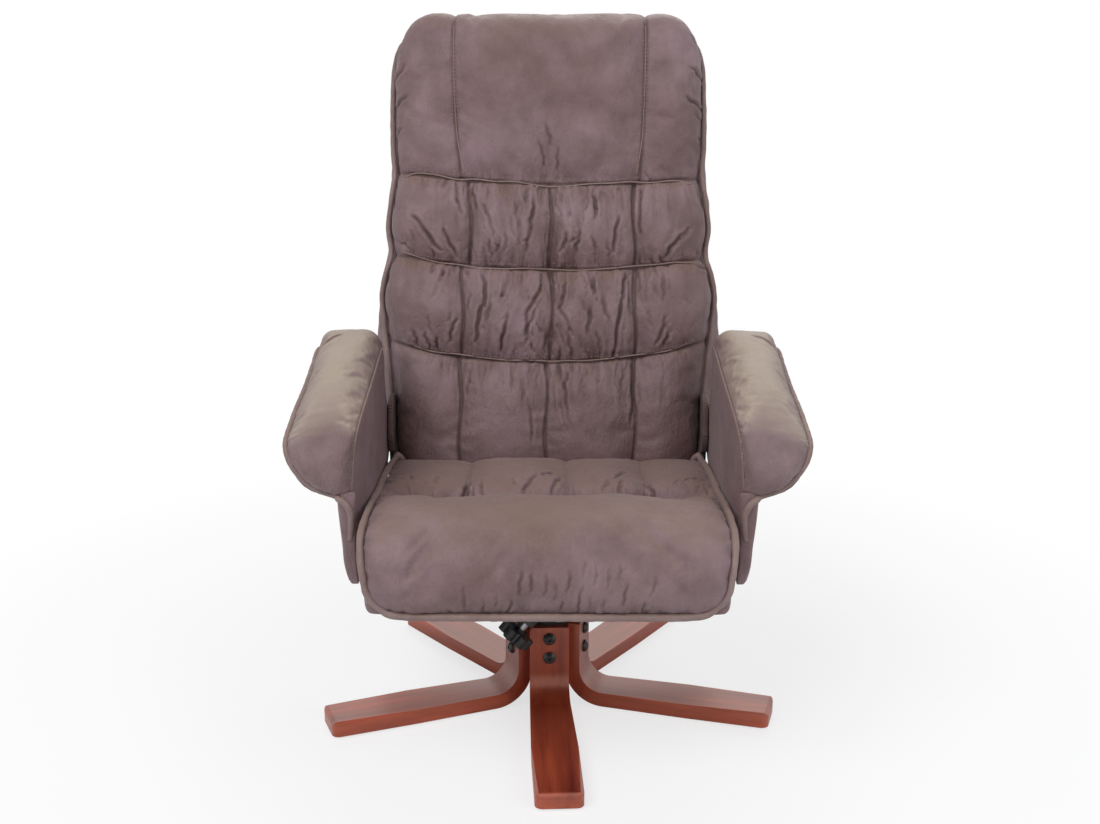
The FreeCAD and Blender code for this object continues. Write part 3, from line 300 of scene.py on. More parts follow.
def settle(
    bm: bmesh.types.BMesh, name: str, finish: bpy.types.Material, tidy: bool = True
) -> bpy.types.Object:
    """Turns a bmesh into a smooth-shaded object at the origin.

    Args:
        bm: The finished mesh, in metres. It is freed.
        name: The piece's name.
        finish: Its material.
        tidy: Whether the faces are turned to point outwards.

    Returns:
        The new object.
    """
    if tidy:
        bmesh.ops.recalc_face_normals(bm, faces=bm.faces)
    for face in bm.faces:
        face.smooth = True
    mesh = bpy.data.meshes.new(name)
    bm.to_mesh(mesh)
    bm.free()
    mesh.materials.append(finish)
    piece = bpy.data.objects.new(name, mesh)
    bpy.context.scene.collection.objects.link(piece)
    return piece


def edge_loop(bm: bmesh.types.BMesh) -> list[bmesh.types.BMEdge]:
    """The edges that bound a sheet."""
    return [edge for edge in bm.edges if edge.is_boundary]


def place_vertices(verts: Sequence[bmesh.types.BMVert], points: np.ndarray) -> None:
    """Moves vertices to points that are in millimetres."""
    for vert, point in zip(verts, points * MM):
        vert.co = point


def panel_mesh(panel: Panel, relief: Relief, rim: Sequence[RingStep]) -> bmesh.types.BMesh:
    """Lays a grid over a panel, raises its relief and closes it behind.

    Args:
        panel: The panel's shape.
        relief: Gives the height over the plain panel at each place, in millimetres.
        rim: Each step takes the sewn edge's points to those of the next ring; the last ring is capped.

    Returns:
        The closed mesh, with each vertex's shares kept in the layers across and along.
    """
    bm = bmesh.new()
    bmesh.ops.create_grid(bm, x_segments=panel.columns, y_segments=panel.rows, size=1)
    across_layer = bm.verts.layers.float.new("across")
    along_layer = bm.verts.layers.float.new("along")
    rim_layer = bm.verts.layers.float.new("rim")
    edge_layer = bm.verts.layers.float_vector.new("edge")
    shares = (np.array([vert.co for vert in bm.verts]) + 1) / 2
    surface = panel.surface(shares[:, 0], shares[:, 1])
    normals = panel.normals(surface.across, surface.along)
    points = surface.points + normals * relief(surface)[:, None]
    for vert, across, along, point in zip(bm.verts, surface.across, surface.along, points * MM):
        vert[across_layer] = across
        vert[along_layer] = along
        vert[edge_layer] = point
        vert.co = point
    loop = edge_loop(bm)
    for vert in {vert for edge in loop for vert in edge.verts}:
        vert[rim_layer] = 1
    for step in rim:
        grown = bmesh.ops.extrude_edge_only(bm, edges=loop)["geom"]
        verts = [item for item in grown if isinstance(item, bmesh.types.BMVert)]
        place_vertices(verts, step(np.array([vert[edge_layer] for vert in verts]) / MM))
        loop = [item for item in grown if isinstance(item, bmesh.types.BMEdge) and item.is_boundary]
    bmesh.ops.triangle_fill(bm, use_beauty=True, use_dissolve=False, edges=loop)
    return bm


def read_layer(mesh: bpy.types.Mesh, name: str) -> np.ndarray:
    """One number for each vertex.

    Args:
        mesh: The mesh.
        name: The layer's name.

    Returns:
        The numbers, in the vertices' order.
    """
    values = np.zeros(len(mesh.vertices), np.float32)
    mesh.attributes[name].data.foreach_get("value", values)
    return values.astype(float)


def read_shares(mesh: bpy.types.Mesh) -> tuple[np.ndarray, ...]:
    """Each vertex's shares across and along its panel, and whether it is on or behind the sewn edge."""
    return tuple(read_layer(mesh, name) for name in ("across", "along", "rim"))


def sewn(rim: np.ndarray, firm: np.ndarray) -> np.ndarray:
    """How firmly each vertex is held: the edge fully, and a seam where it binds."""
    return np.where(rim > 0, 1.0, np.where(firm > LEAST_HOLD, firm, 0.0))


def read_points(mesh: bpy.types.Mesh, source: str = "co") -> np.ndarray:
    """The vertices' places or normals as they are stored.

    Args:
        mesh: The mesh.
        source: What is read: co for places, vector for normals.

    Returns:
        One row of coordinates for each vertex.
    """
    values = np.zeros(len(mesh.vertices) * 3, np.float32)
    (mesh.vertex_normals if source == "vector" else mesh.vertices).foreach_get(source, values)
    return values.astype(float).reshape(-1, 3)


def write_points(mesh: bpy.types.Mesh, points: np.ndarray) -> None:
    """Sets the vertices' places."""
    mesh.vertices.foreach_set("co", points.astype(np.float32).ravel())
    mesh.update()


def apply_modifiers(piece: bpy.types.Object) -> None:
    """Replaces a piece's mesh by its shape with every modifier on it.

    Args:
        piece: The piece, which keeps its name.
    """
    graph = bpy.context.evaluated_depsgraph_get()
    graph.update()
    shaped = piece.evaluated_get(graph)
    mesh = bpy.data.meshes.new_from_object(shaped, preserve_all_data_layers=True, depsgraph=graph)
    piece.modifiers.clear()
    old = piece.data
    piece.data = mesh
    bpy.data.meshes.remove(old)


@dataclass(frozen=True)
class Stuffing:
    """How a padded piece is blown up as cloth over its filling."""

    pressure: float = 4.0
    # Spare length that the cloth has, as a share
    slack: float = 0.02
    frames: int = 16
    # The furthest that the cover moves, in millimetres
    reach: float = 24.0
    stiffness: float = 12.0
    shear: float = 4.0
    bending: float = 0.4
    mass: float = 0.3
    quality: int = 4

    def fill(self, piece: bpy.types.Object, held: np.ndarray) -> None:
        """Simulates the cover as cloth under pressure, held along its seams.

        Args:
            piece: The closed mesh, which is changed.
            held: How firmly each vertex is held, from 0 to 1.
        """
        rest = read_points(piece.data)
        group = piece.vertex_groups.new(name="sewn")
        grades = np.round(held, 1)
        for grade in np.unique(grades[grades > 0]):
            group.add(np.flatnonzero(grades == grade).tolist(), float(grade), "REPLACE")
        cloth = piece.modifiers.new("Cloth", "CLOTH")
        settings = cloth.settings
        settings.quality = self.quality
        settings.mass = self.mass
        settings.tension_stiffness = self.stiffness
        settings.compression_stiffness = self.stiffness
        settings.shear_stiffness = self.shear
        settings.bending_stiffness = self.bending
        settings.vertex_group_mass = "sewn"
        settings.shrink_min = -self.slack
        settings.use_pressure = True
        settings.uniform_pressure_force = self.pressure
        settings.effector_weights.gravity = 0
        cloth.collision_settings.use_collision = False
        scene = bpy.context.scene
        for step in range(1, self.frames + 1):
            scene.frame_set(step)
        apply_modifiers(piece)
        scene.frame_set(1)
        piece.vertex_groups.clear()
        moved = read_points(piece.data) - rest
        length = np.linalg.norm(moved, axis=1)
        share = np.minimum(1, self.reach * MM / np.maximum(length, 1e-9))
        write_points(piece.data, rest + moved * share[:, None])


def refine(piece: bpy.types.Object, levels: int = 1) -> None:
    """Subdivides a piece and keeps the result.

    Args:
        piece: The piece.
        levels: How often its faces are divided.
    """
    smooth = piece.modifiers.new("Subdivision", "SUBSURF")
    smooth.levels = levels
    smooth.render_levels = levels
    apply_modifiers(piece)


def emboss(piece: bpy.types.Object, panel: Panel, relief: Relief) -> None:
    """Adds fine relief along a panel's normals and stores how deep each place lies, for the painted shade in
    the folds and painted highlight on the ridges.

    Args:
        piece: The refined cover, with the layers across and along.
        panel: The panel that it was laid over.
        relief: Gives the height to add at each place, in millimetres.
    """
    mesh = piece.data
    across, along, rim = read_shares(mesh)
    height = relief(panel.surface(across, along)) * (1 - np.clip(rim, 0, 1))
    write_points(mesh, read_points(mesh) + read_points(mesh, "vector") * (height * MM)[:, None])
    # How deep each place lies, which the suede paints as shade in the folds and highlight on the ridges
    fold_shade_ridge_light = mesh.attributes.new("fold_shade_ridge_light", "FLOAT", "POINT")
    fold_shade_ridge_light.data.foreach_set("value", np.clip(0.5 + height / RELIEF_LIGHT_SPAN, 0, 1).astype(np.float32))


def tube(path: np.ndarray, radius: float, sides: int = 10, pucker: float = 0.0) -> bmesh.types.BMesh:
    """Sweeps a round section along a path.

    Args:
        path: Points along the path, in millimetres.
        radius: The tube's radius, in millimetres.
        sides: Sides of the section.
        pucker: Share by which the radius varies, as gathered piping does.

    Returns:
        The tube, capped at its ends, in metres.
    """
    bm = bmesh.new()
    count = len(path)
    tangents = np.gradient(path, axis=0)
    tangents /= np.linalg.norm(tangents, axis=1)[:, None]
    swell = 1 + pucker * lattice_noise(np.arange(count) * 0.6, np.zeros(count), 5)
    side = Vector(tangents[0]).orthogonal().normalized()
    previous: list[bmesh.types.BMEdge] = []
    for point, tangent, size in zip(path, tangents, swell):
        way = Vector(tangent)
        side = (side - way * side.dot(way)).normalized()
        turn = Matrix((side, way.cross(side), way)).transposed().to_4x4()
        made = bmesh.ops.create_circle(
            bm,
            cap_ends=False,
            segments=sides,
            radius=radius * float(size) * MM,
            matrix=Matrix.Translation(Vector(point * MM)) @ turn,
        )
        verts = made["verts"]
        ring = list({edge for vert in verts for edge in vert.link_edges if edge.other_vert(vert) in verts})
        if previous:
            bmesh.ops.bridge_loops(bm, edges=previous + ring)
        previous = ring
    bmesh.ops.holes_fill(bm, edges=edge_loop(bm), sides=0)
    return bm


def even_path(points: np.ndarray, spacing: float) -> np.ndarray:
    """Spreads points evenly along a path, in millimetres.

    Args:
        points: Points along the path.
        spacing: How far apart the new ones are.

    Returns:
        The new points, with both ends kept.
    """
    steps = np.linalg.norm(np.diff(points, axis=0), axis=1)
    length = np.concatenate([[0], np.cumsum(steps)])
    places = np.linspace(0, length[-1], max(3, int(length[-1] / spacing) + 1))
    return np.stack([np.interp(places, length, points[:, axis]) for axis in range(3)], axis=1)


def smooth_path(keys: Sequence[Sequence[float]], spacing: float) -> np.ndarray:
    """A smooth line through control points, with evenly spread points, in millimetres."""
    dense = hermite(keys, np.linspace(0, len(keys) - 1, 40 * len(keys)))
    return even_path(dense, spacing)


def faces_tree(cover: bpy.types.Object) -> BVHTree:
    """A search tree over a cover's faces."""
    faces = [list(face.vertices) for face in cover.data.polygons]
    return BVHTree.FromPolygons([vert.co for vert in cover.data.vertices], faces)


def laid(
    cover: bpy.types.Object, line: np.ndarray, lift: float, rounds: int = 24, spacing: float = 3.2
) -> np.ndarray:
    """Drops a line of points onto a cover.

    Args:
        cover: The cover.
        line: Points near it, in millimetres.
        lift: How far over the cover the line lies, in millimetres.
        rounds: How often the line is smoothed.
        spacing: How far apart its points end up, in millimetres.

    Returns:
        The points on the cover, in millimetres.
    """
    tree = faces_tree(cover)
    found = [tree.find_nearest(Vector(point * MM)) for point in line]
    points = np.array([place / MM + normal * lift for place, normal, _, _ in found])
    for _ in range(rounds):
        points[1:-1] = (points[:-2] + 2 * points[1:-1] + points[2:]) / 4
    return even_path(points, spacing)


@dataclass(frozen=True)
class Thread:
    """A row of top stitches, in millimetres."""

    length: float = 4.2
    gap: float = 2.0
    radius: float = 0.5
    # How far a stitch's middle lies over the cover
    lift: float = 0.2

    def sew(
        self, rows: Sequence[np.ndarray], cover: bpy.types.Object, name: str, finish: bpy.types.Material
    ) -> bpy.types.Object:
        """Lays stitches along lines, down on a cover.

        Args:
            rows: Lines of points near the cover, in millimetres.
            cover: The cover that they are sewn to.
            name: The piece's name.
            finish: The thread's material.

        Returns:
            The stitches as one piece.
        """
        tree = faces_tree(cover)
        bm = bmesh.new()
        for row in rows:
            line = even_path(row, self.length + self.gap)
            for start, end in zip(line, line[1:]):
                self.stitch(bm, tree, Vector(start * MM), Vector(end * MM))
        return settle(bm, name, finish)

    def stitch(self, bm: bmesh.types.BMesh, tree: BVHTree, start: Vector, end: Vector) -> None:
        """Adds one stitch whose ends sink into the cover.

        Args:
            bm: The mesh that it is added to.
            tree: The cover's faces.
            start: Where it starts, in metres.
            end: Where the next one starts.
        """
        share = self.length / (self.length + self.gap)
        middle, normal, _, _ = tree.find_nearest((start + end) / 2)
        way = (end - start).normalized()
        way = (way - normal * way.dot(normal)).normalized()
        turn = Matrix((way, normal.cross(way), normal)).transposed().to_4x4()
        size = Matrix.Diagonal(((end - start).length * share / 2, self.radius * MM, self.radius * MM, 1))
        place = Matrix.Translation(middle + normal * self.lift * MM) @ turn @ size
        bmesh.ops.create_icosphere(bm, subdivisions=1, radius=1, matrix=place)


# Finishes


class Slot(Enum):
    """The record's material slots."""

    UPHOLSTERY = "upholstery"
    LEG_WOOD = "leg_wood"
    BLACK_STEEL = "black_steel"
    BRIGHT_STEEL = "bright_steel"
    BLACK_PLASTIC = "black_plastic"
    PLAIN_WOOD = "plain_wood"
    BLACK_WEBBING = "black_webbing"


def linear(red: int, green: int, blue: int) -> tuple[float, float, float, float]:
    """A colour from its eight-bit screen values."""
    return tuple((value / 255) ** SCREEN_GAMMA for value in (red, green, blue)) + (1.0,)


class Nodes:
    """Builds the nodes of one material, or of the world, with few words."""

    def __init__(self, owner: bpy.types.Material | bpy.types.World, shader: str = "Principled BSDF") -> None:
        """Starts from the shader that a new material or world has.

        Args:
            owner: The material or world.
            shader: The name of that shader.
        """
        owner.use_nodes = True
        self.owner = owner
        self.tree = owner.node_tree
        self.shader = self.tree.nodes[shader]

    def add(
        self, kind: str, links: dict[str | int, object] | None = None, **settings: object
    ) -> bpy.types.Node:
        """Adds a node.

        Args:
            kind: The node's type without its prefix.
            links: Its inputs: another node's output to link, or a value.
            settings: Its own settings.

        Returns:
            The node.
        """
        node = self.tree.nodes.new("ShaderNode" + kind)
        for key, value in settings.items():
            setattr(node, key, value)
        self.join(node, links or {})
        return node

    def join(self, node: bpy.types.Node, links: dict[str | int, object]) -> None:
        """Links or sets inputs of a node.

        Args:
            node: The node.
            links: Its inputs: another node's output to link, or a value.
        """
        for key, value in links.items():
            if isinstance(value, Socket):
                self.tree.links.new(value, node.inputs[key])
            else:
                node.inputs[key].default_value = value

    def place(self, scale: Sequence[float] = (1, 1, 1), turn: float = 0.0) -> Socket:
        """Object coordinates, turned about the vertical and then scaled.

        Args:
            scale: How finely a pattern repeats along each axis.
            turn: The turn, in radians.

        Returns:
            The coordinates.
        """
        coordinates = self.add("TexCoord").outputs["Object"]
        turned = self.add("Mapping", {"Vector": coordinates, "Rotation": (0, 0, -turn)}).outputs["Vector"]
        return self.add("Mapping", {"Vector": turned, "Scale": tuple(scale)}).outputs["Vector"]

    def noise(self, vector: Socket, scale: float, detail: float = 3, rough: float = 0.5) -> Socket:
        """Fractal noise from 0 to 1."""
        links = {"Vector": vector, "Scale": scale, "Detail": detail, "Roughness": rough}
        return self.add("TexNoise", links).outputs["Fac"]

    def blend(self, factor: Socket | float, first: object, second: object) -> Socket:
        """Mixes two colours.

        Args:
            factor: 0 for the first colour, 1 for the second.
            first: A colour or an output.
            second: A colour or an output.

        Returns:
            The mixed colour.
        """
        mix = self.add("Mix", data_type="RGBA")
        self.join(mix, {0: factor, 6: first, 7: second})
        return mix.outputs[2]

    def combine(self, operation: str, first: Socket, second: Socket) -> Socket:
        """Works out one number from two."""
        return self.add("Math", {0: first, 1: second}, operation=operation).outputs[0]

    def show(self, surface: Socket, output: str) -> None:
        """Sends a shader to the output of that name."""
        self.join(self.tree.nodes[output], {"Surface": surface})

    def spread(self, value: Socket, low: float, high: float, start: float = 0, end: float = 1) -> Socket:
        """Maps a range of a value to another range, held at its ends."""
        links = {"Value": value, "From Min": low, "From Max": high, "To Min": start, "To Max": end}
        return self.add("MapRange", links).outputs["Result"]

    def bump(self, height: Socket, distance: float, under: Socket | None = None) -> Socket:
        """A bump over another one.

        Args:
            height: The pattern.
            distance: Its height, in metres.
            under: The bump that it lies on.

        Returns:
            The bent normal.
        """
        links = {"Height": height, "Distance": distance, "Strength": 1.0}
        if under:
            links["Normal"] = under
        return self.add("Bump", links).outputs["Normal"]


@dataclass(frozen=True)
class Suede:
    """Brushed mocha suede cloth: a mottled nap, with painted highlight where it is raised and on upward
    faces, and painted shade in the folds.
    """

    name: str
    nap: tuple[int, int, int] = (107, 82, 82)
    # A darker nap for random mottling, also painted as shade in the folds
    shade: tuple[int, int, int] = (66, 47, 45)
    # A paler nap for random mottling, also painted as highlight on the raised ridges
    mottle_and_ridge_highlight: tuple[int, int, int] = (133, 111, 118)
    # Pale fibre flecks, also painted as highlight on upward faces
    fibre_and_top_highlight: tuple[int, int, int] = (150, 124, 107)
    # Whether the piece stores how deep its folds are, from which shade is painted in the folds and highlight
    # on the ridges
    embossed: bool = True
    # How strong the painted highlight on upward faces is, as where light falls from above, and the upward and
    # rearward parts of the normal between which it sets in
    top_highlight: float = 0.4
    top_highlight_from: tuple[float, float] = (0.5, 0.99)
    top_highlight_nose: tuple[float, float] = (-1.2, -1.0)
    sheen: float = 0.16

    def material(self) -> bpy.types.Material:
        """Builds the suede.

        Returns:
            The material.
        """
        nodes = Nodes(bpy.data.materials.new(self.name))
        place = nodes.place()
        drift = nodes.noise(place, 6.0, 4, 0.55)
        cloud = nodes.noise(place, 23.0, 5, 0.6)
        fibre = nodes.noise(nodes.place((1, 1, 0.35)), 900.0, 2, 0.6)
        colour = nodes.blend(nodes.spread(drift, 0.3, 0.7), linear(*self.nap), linear(*self.mottle_and_ridge_highlight))
        colour = nodes.blend(nodes.spread(cloud, 0.35, 0.75, 0, 0.45), colour, linear(*self.shade))
        if self.embossed:
            fold_shade_ridge_light = nodes.add("Attribute", attribute_name="fold_shade_ridge_light").outputs["Fac"]
            # Painted shade in the folds
            colour = nodes.blend(nodes.spread(fold_shade_ridge_light, 0.47, 0.1, 0, 0.85), colour, linear(*self.shade))
            # Painted highlight on the raised ridges
            colour = nodes.blend(nodes.spread(fold_shade_ridge_light, 0.55, 0.85, 0, 0.4), colour, linear(*self.mottle_and_ridge_highlight))
        # Painted highlight on upward faces, as where light falls from above, less on faces that turn to the
        # front
        facing = nodes.add("SeparateXYZ", {0: nodes.add("TexCoord").outputs["Normal"]}).outputs
        pale = nodes.spread(facing["Z"], *self.top_highlight_from, 0, self.top_highlight)
        nose = nodes.spread(facing["Y"], *self.top_highlight_nose)
        colour = nodes.blend(nodes.combine("MULTIPLY", pale, nose), colour, linear(*self.fibre_and_top_highlight))
        colour = nodes.blend(nodes.spread(fibre, 0.3, 0.7, 0, 0.16), colour, linear(*self.fibre_and_top_highlight))
        pores = nodes.add("TexVoronoi", {"Vector": place, "Scale": 620.0}).outputs["Distance"]
        creases = nodes.noise(nodes.place((1, 1, 0.45)), 120.0, 4, 0.65)
        normal = nodes.bump(pores, 0.00016)
        crackle = nodes.noise(nodes.place((1, 1, 0.6)), 320.0, 3, 0.6)
        normal = nodes.bump(crackle, 0.001, normal)
        normal = nodes.bump(creases, 0.0017, normal)
        normal = nodes.bump(cloud, 0.002, normal)
        rough = nodes.spread(cloud, 0.3, 0.7, 0.5, 0.66)
        nodes.join(
            nodes.shader,
            {
                "Base Color": colour,
                "Roughness": rough,
                "Normal": normal,
                "Specular IOR Level": 0.42,
                "Sheen Weight": self.sheen,
                "Sheen Roughness": 0.45,
                "Sheen Tint": (0.86, 0.78, 0.8, 1),
            },
        )
        return nodes.owner


@dataclass(frozen=True)
class Lacquer:
    """Cherry-stained bentwood under semi-gloss lacquer, with its grain along one leg."""

    turn: float
    # Where the leg's bend lies, as distances from the swivel's axis in metres
    bend: tuple[float, float] = (0.068, 0.085)

    def material(self) -> bpy.types.Material:
        """Builds the stained wood for a leg that points that way.

        Returns:
            The material.
        """
        nodes = Nodes(bpy.data.materials.new(f"leg_lacquer_{round(math.degrees(self.turn)) % 360}"))
        flat = nodes.place((3, 34, 34), self.turn)
        upright = nodes.place((34, 34, 3), self.turn)
        along = nodes.add("SeparateXYZ", {0: nodes.place((1, 1, 1), self.turn)}).outputs["X"]
        bent = nodes.spread(along, *self.bend)
        grain = nodes.blend(bent, nodes.noise(upright, 1.0, 6, 0.6), nodes.noise(flat, 1.0, 6, 0.6))
        pores_upright = nodes.noise(nodes.place((160, 160, 6), self.turn), 1.6, 3, 0.7)
        pores_flat = nodes.noise(nodes.place((6, 160, 160), self.turn), 1.6, 3, 0.7)
        pores = nodes.blend(bent, pores_upright, pores_flat)
        colour = nodes.blend(nodes.spread(grain, 0.3, 0.72), linear(100, 30, 21), linear(178, 80, 52))
        colour = nodes.blend(nodes.spread(pores, 0.56, 0.75, 0, 0.5), colour, linear(70, 24, 20))
        normal = nodes.bump(pores, 0.00018)
        nodes.join(
            nodes.shader,
            {
                "Base Color": colour,
                "Roughness": nodes.spread(grain, 0.2, 0.8, 0.34, 0.46),
                "Normal": normal,
                "Specular IOR Level": 1.0,
                "Specular Tint": (1.0, 0.6, 0.45, 1),
                "Coat Weight": 0.6,
                "Coat Roughness": 0.3,
            },
        )
        return nodes.owner


@dataclass(frozen=True)
class Plain:
    """A steel, plastic, wood or webbing finish with its own fine texture."""

    name: str
    base: tuple[int, int, int]
    marks: tuple[int, int, int]
    metallic: float
    roughness: tuple[float, float]
    scale: Point
    bump: float
    coat: float = 0.0

    def material(self) -> bpy.types.Material:
        """Builds the finish.

        Returns:
            The material.
        """
        nodes = Nodes(bpy.data.materials.new(self.name))
        fine = nodes.noise(nodes.place(self.scale), 1.0, 4, 0.6)
        broad = nodes.noise(nodes.place(), 18.0, 3, 0.5)
        colour = nodes.blend(nodes.spread(fine, 0.35, 0.75), linear(*self.base), linear(*self.marks))
        colour = nodes.blend(nodes.spread(broad, 0.4, 0.8, 0, 0.35), colour, linear(*self.marks))
        nodes.join(
            nodes.shader,
            {
                "Base Color": colour,
                "Roughness": nodes.spread(fine, 0.3, 0.7, *self.roughness),
                "Metallic": self.metallic,
                "Coat Weight": self.coat,
                "Normal": nodes.bump(fine, self.bump),
            },
        )
        return nodes.owner


FINISHES = {
    Slot.BLACK_STEEL: Plain(
        "black_painted_steel", (26, 26, 28), (44, 43, 44), 0.0, (0.34, 0.5), (700, 700, 700), 1e-4, 0.25
    ),
    Slot.BRIGHT_STEEL: Plain(
        "zinc_steel", (176, 178, 180), (128, 128, 130), 1.0, (0.22, 0.4), (300, 300, 900), 4e-5
    ),
    Slot.BLACK_PLASTIC: Plain(
        "moulded_plastic", (24, 24, 25), (40, 40, 42), 0.0, (0.36, 0.52), (1500, 1500, 1500), 7e-5
    ),
    Slot.PLAIN_WOOD: Plain(
        "beech_frame", (196, 160, 118), (160, 120, 80), 0.0, (0.55, 0.7), (6, 90, 90), 2e-4
    ),
    Slot.BLACK_WEBBING: Plain(
        "woven_webbing", (30, 29, 30), (58, 56, 56), 0.0, (0.7, 0.85), (900, 240, 900), 4e-4
    ),
}


# Sub-assemblies


@dataclass
class BackRest:
    """The reclining back: four stuffed panels in front, piping round them and a padded shell behind."""

    cover: bpy.types.Material
    welt: bpy.types.Material
    thread: bpy.types.Material
    foot: Point = (0.0, 130.0, 370.0)
    lean: float = 15.0
    half_width: float = 262.0
    # Width of the front and rear covers between their welts, over the swell
    front_width: float = 640.0
    rear_width: float = 600.0
    welt_depth: float = 42.0
    welt_inset: float = 8.0
    welt_radius: float = 4.6
    rear_depth: float = 122.0
    rear_welt_radius: float = 3.6
    seam_radius: float = 1.3
    # Height over which the outline is rounded, and by how much the front cover stays under it
    crown_from: float = 700.0
    crown_drop: float = 4.0
    # How far each of the four panels swells, from the low one up
    crowns: Row = (15.0, 21.0, 21.0, 26.0)
    # Height in the middle, rise at the sides, power of that curve and slant of each level seam
    level_seams: tuple[Row, ...] = ((157, 35, 2.6, 0), (311, 24, 2.4, 3), (454, 18, 2.4, 5))
    # Place across, lean and bend of each upright seam of the headrest, and the height that they climb
    upright_seams: tuple[Row, ...] = ((-144, -34, 22), (151, 20, -10))
    head_height: float = 290.0
    # Low inner and high outer corner of the flap over a pivot plate
    flap_box: tuple[Point, Point] = ((258.2, -6, 4), (268.4, 64, 104))
    # Places across of each upright channel, from the low panel up
    channels: tuple[Row, ...] = ((-147, -143, -130), (-3, 5, 3), (144, 144, 142))
    stuffing: Stuffing = Stuffing()
    # Height and half width of the welt, height and depth of the middle
    rows: tuple[Row, ...] = (
        (-34, 252, -34, 10), (20, 262, 20, 3), (90, 265, 90, 0), (150, 271, 150, 0), (190, 276, 190, 0),
        (225, 279, 225, 0), (267, 283, 267, 0), (305, 277, 305, 0), (340, 267, 340, 0), (383, 272, 383, 0),
        (430, 267, 430, 0), (475, 261, 475, 0), (520, 263, 520, 0), (600, 263, 600, 0), (650, 261, 660, 0),
        (682, 253, 696, 5), (702, 238, 720, 19), (718, 217, 734, 38), (730, 188, 741, 57),
    )
    # Start and end of each large crease, across and up the back, and its depth
    creases: tuple[Fold, ...] = (
        (-154, 440, -144, 404, 3), (-128, 448, -122, 413, 4), (-107, 416, -89, 370, 4),
        (-219, 396, -180, 344, 6), (-173, 375, -152, 332, 5), (-247, 360, -228, 344, 3),
        (-53, 420, -50, 370, 3), (-25, 420, -29, 388, 4), (-30, 380, -36, 342, 4), (19, 436, 23, 420, 3),
        (74, 443, 78, 396, 5), (116, 396, 106, 342, 6), (152, 440, 152, 372, 5), (215, 368, 194, 330, 6),
        (230, 380, 216, 362, 3), (245, 342, 252, 334, 3), (31, 368, 21, 340, 4), (51, 372, 47, 340, 4),
        (-90, 368, -84, 342, 3), (-176, 310, -173, 298, 4), (-188, 314, -193, 302, 3),
        (-107, 300, -103, 250, 6), (-110, 248, -121, 192, 6), (-64, 304, -76, 266, 4),
        (-68, 234, -78, 178, 5), (-12, 282, -36, 234, 5), (-34, 230, -38, 190, 4), (30, 286, 19, 246, 5),
        (61, 300, 65, 280, 4), (78, 304, 74, 270, 4), (69, 246, 66, 206, 4), (34, 210, 38, 172, 4),
        (128, 302, 124, 264, 6), (122, 262, 108, 164, 7), (192, 300, 190, 262, 3), (194, 230, 182, 190, 5),
        (202, 210, 191, 184, 4), (-221, 208, -217, 184, 4), (-204, 204, -198, 180, 5),
        (-187, 196, -183, 176, 4), (-164, 192, -154, 226, 5), (248, 316, 262, 312, 4),
        (-2, 546, 3, 516, 3), (-250, 624, -228, 648, 4), (-252, 578, -228, 597, 4),
        (-252, 532, -238, 546, 3), (-248, 668, -226, 700, 4), (252, 664, 226, 688, 4),
        (252, 630, 226, 644, 4), (255, 575, 224, 594, 5), (255, 558, 238, 569, 3), (255, 530, 246, 534, 3),
        (-14, 520, -6, 484, 3), (16, 508, 13, 478, 3), (26, 118, 34, 60, 4), (143, 150, 140, 60, 4),
        (-32, 92, -24, 30, 3), (32, 140, 28, 112, 3), (-152, 452, -149, 423, 2.6),
        (151, 450, 152, 421, 2.6), (-169, 465, -173, 446, 2.2), (162, 472, 171, 453, 2.2),
        (-46, 402, -49, 351, 2.8), (37, 402, 45, 351, 2.8), (-24, 435, -25, 389, 2.6),
        (31, 428, 36, 381, 2.6), (-97, 355, -95, 330, 2.6), (98, 357, 100, 332, 2.6),
        (-82, 364, -80, 347, 2.2), (74, 361, 76, 344, 2.2), (-70, 368, -71, 342, 2.4),
        (73, 367, 78, 342, 2.4), (-101, 448, -100, 427, 2.4), (105, 442, 108, 421, 2.4),
        (-195, 345, -188, 332, 2.4), (190, 338, 188, 325, 2.4), (-186, 321, -195, 309, 2.6),
        (186, 329, 199, 316, 2.6), (-169, 321, -178, 292, 3), (171, 326, 184, 297, 3),
        (-154, 319, -155, 309, 2.2), (152, 324, 157, 313, 2.2), (-178, 292, -191, 264, 1.6),
        (171, 288, 188, 260, 1.6), (-161, 237, -163, 213, 2.2), (164, 241, 171, 217, 2.2),
        (-199, 230, -193, 203, 2.6), (198, 223, 196, 195, 2.6), (-95, 266, -100, 228, 3),
        (91, 261, 99, 223, 3), (-71, 300, -80, 256, 2.6), (67, 306, 80, 261, 2.6),
        (-57, 256, -74, 224, 1.8), (52, 262, 73, 231, 1.8), (-74, 213, -78, 173, 2.8),
        (81, 205, 88, 165, 2.8), (-19, 253, -38, 202, 2.8), (17, 253, 40, 202, 2.8),
        (-28, 186, -25, 171, 2.2), (19, 184, 21, 169, 2.2), (-55, 181, -57, 166, 2.2),
        (62, 174, 69, 159, 2.2), (-4, 192, -6, 170, 2.4), (-131, 270, -134, 245, 2.2),
        (133, 264, 139, 238, 2.2), (-35, 446, -38, 423, 2.2), (37, 453, 43, 430, 2.2),
        (-140, 313, -133, 296, 2.4), (134, 304, 132, 287, 2.4), (-12, 302, -11, 274, 2.4),
        (5, 303, 8, 275, 2.4), (-226, 376, -218, 360, 1.8), (218, 369, 213, 352, 1.8),
        (-44, 132, -40, 84, 2.2), (-62, 140, -58, 110, 1.8), (10, 130, 8, 80, 2.2), (22, 96, 26, 52, 2.2),
        (58, 136, 54, 104, 1.8), (-16, 138, -20, 108, 1.8), (150, 120, 148, 70, 2),
        (126, 142, 124, 112, 1.8), (-132, 140, -136, 104, 2), (84, 142, 82, 120, 1.6),
    )

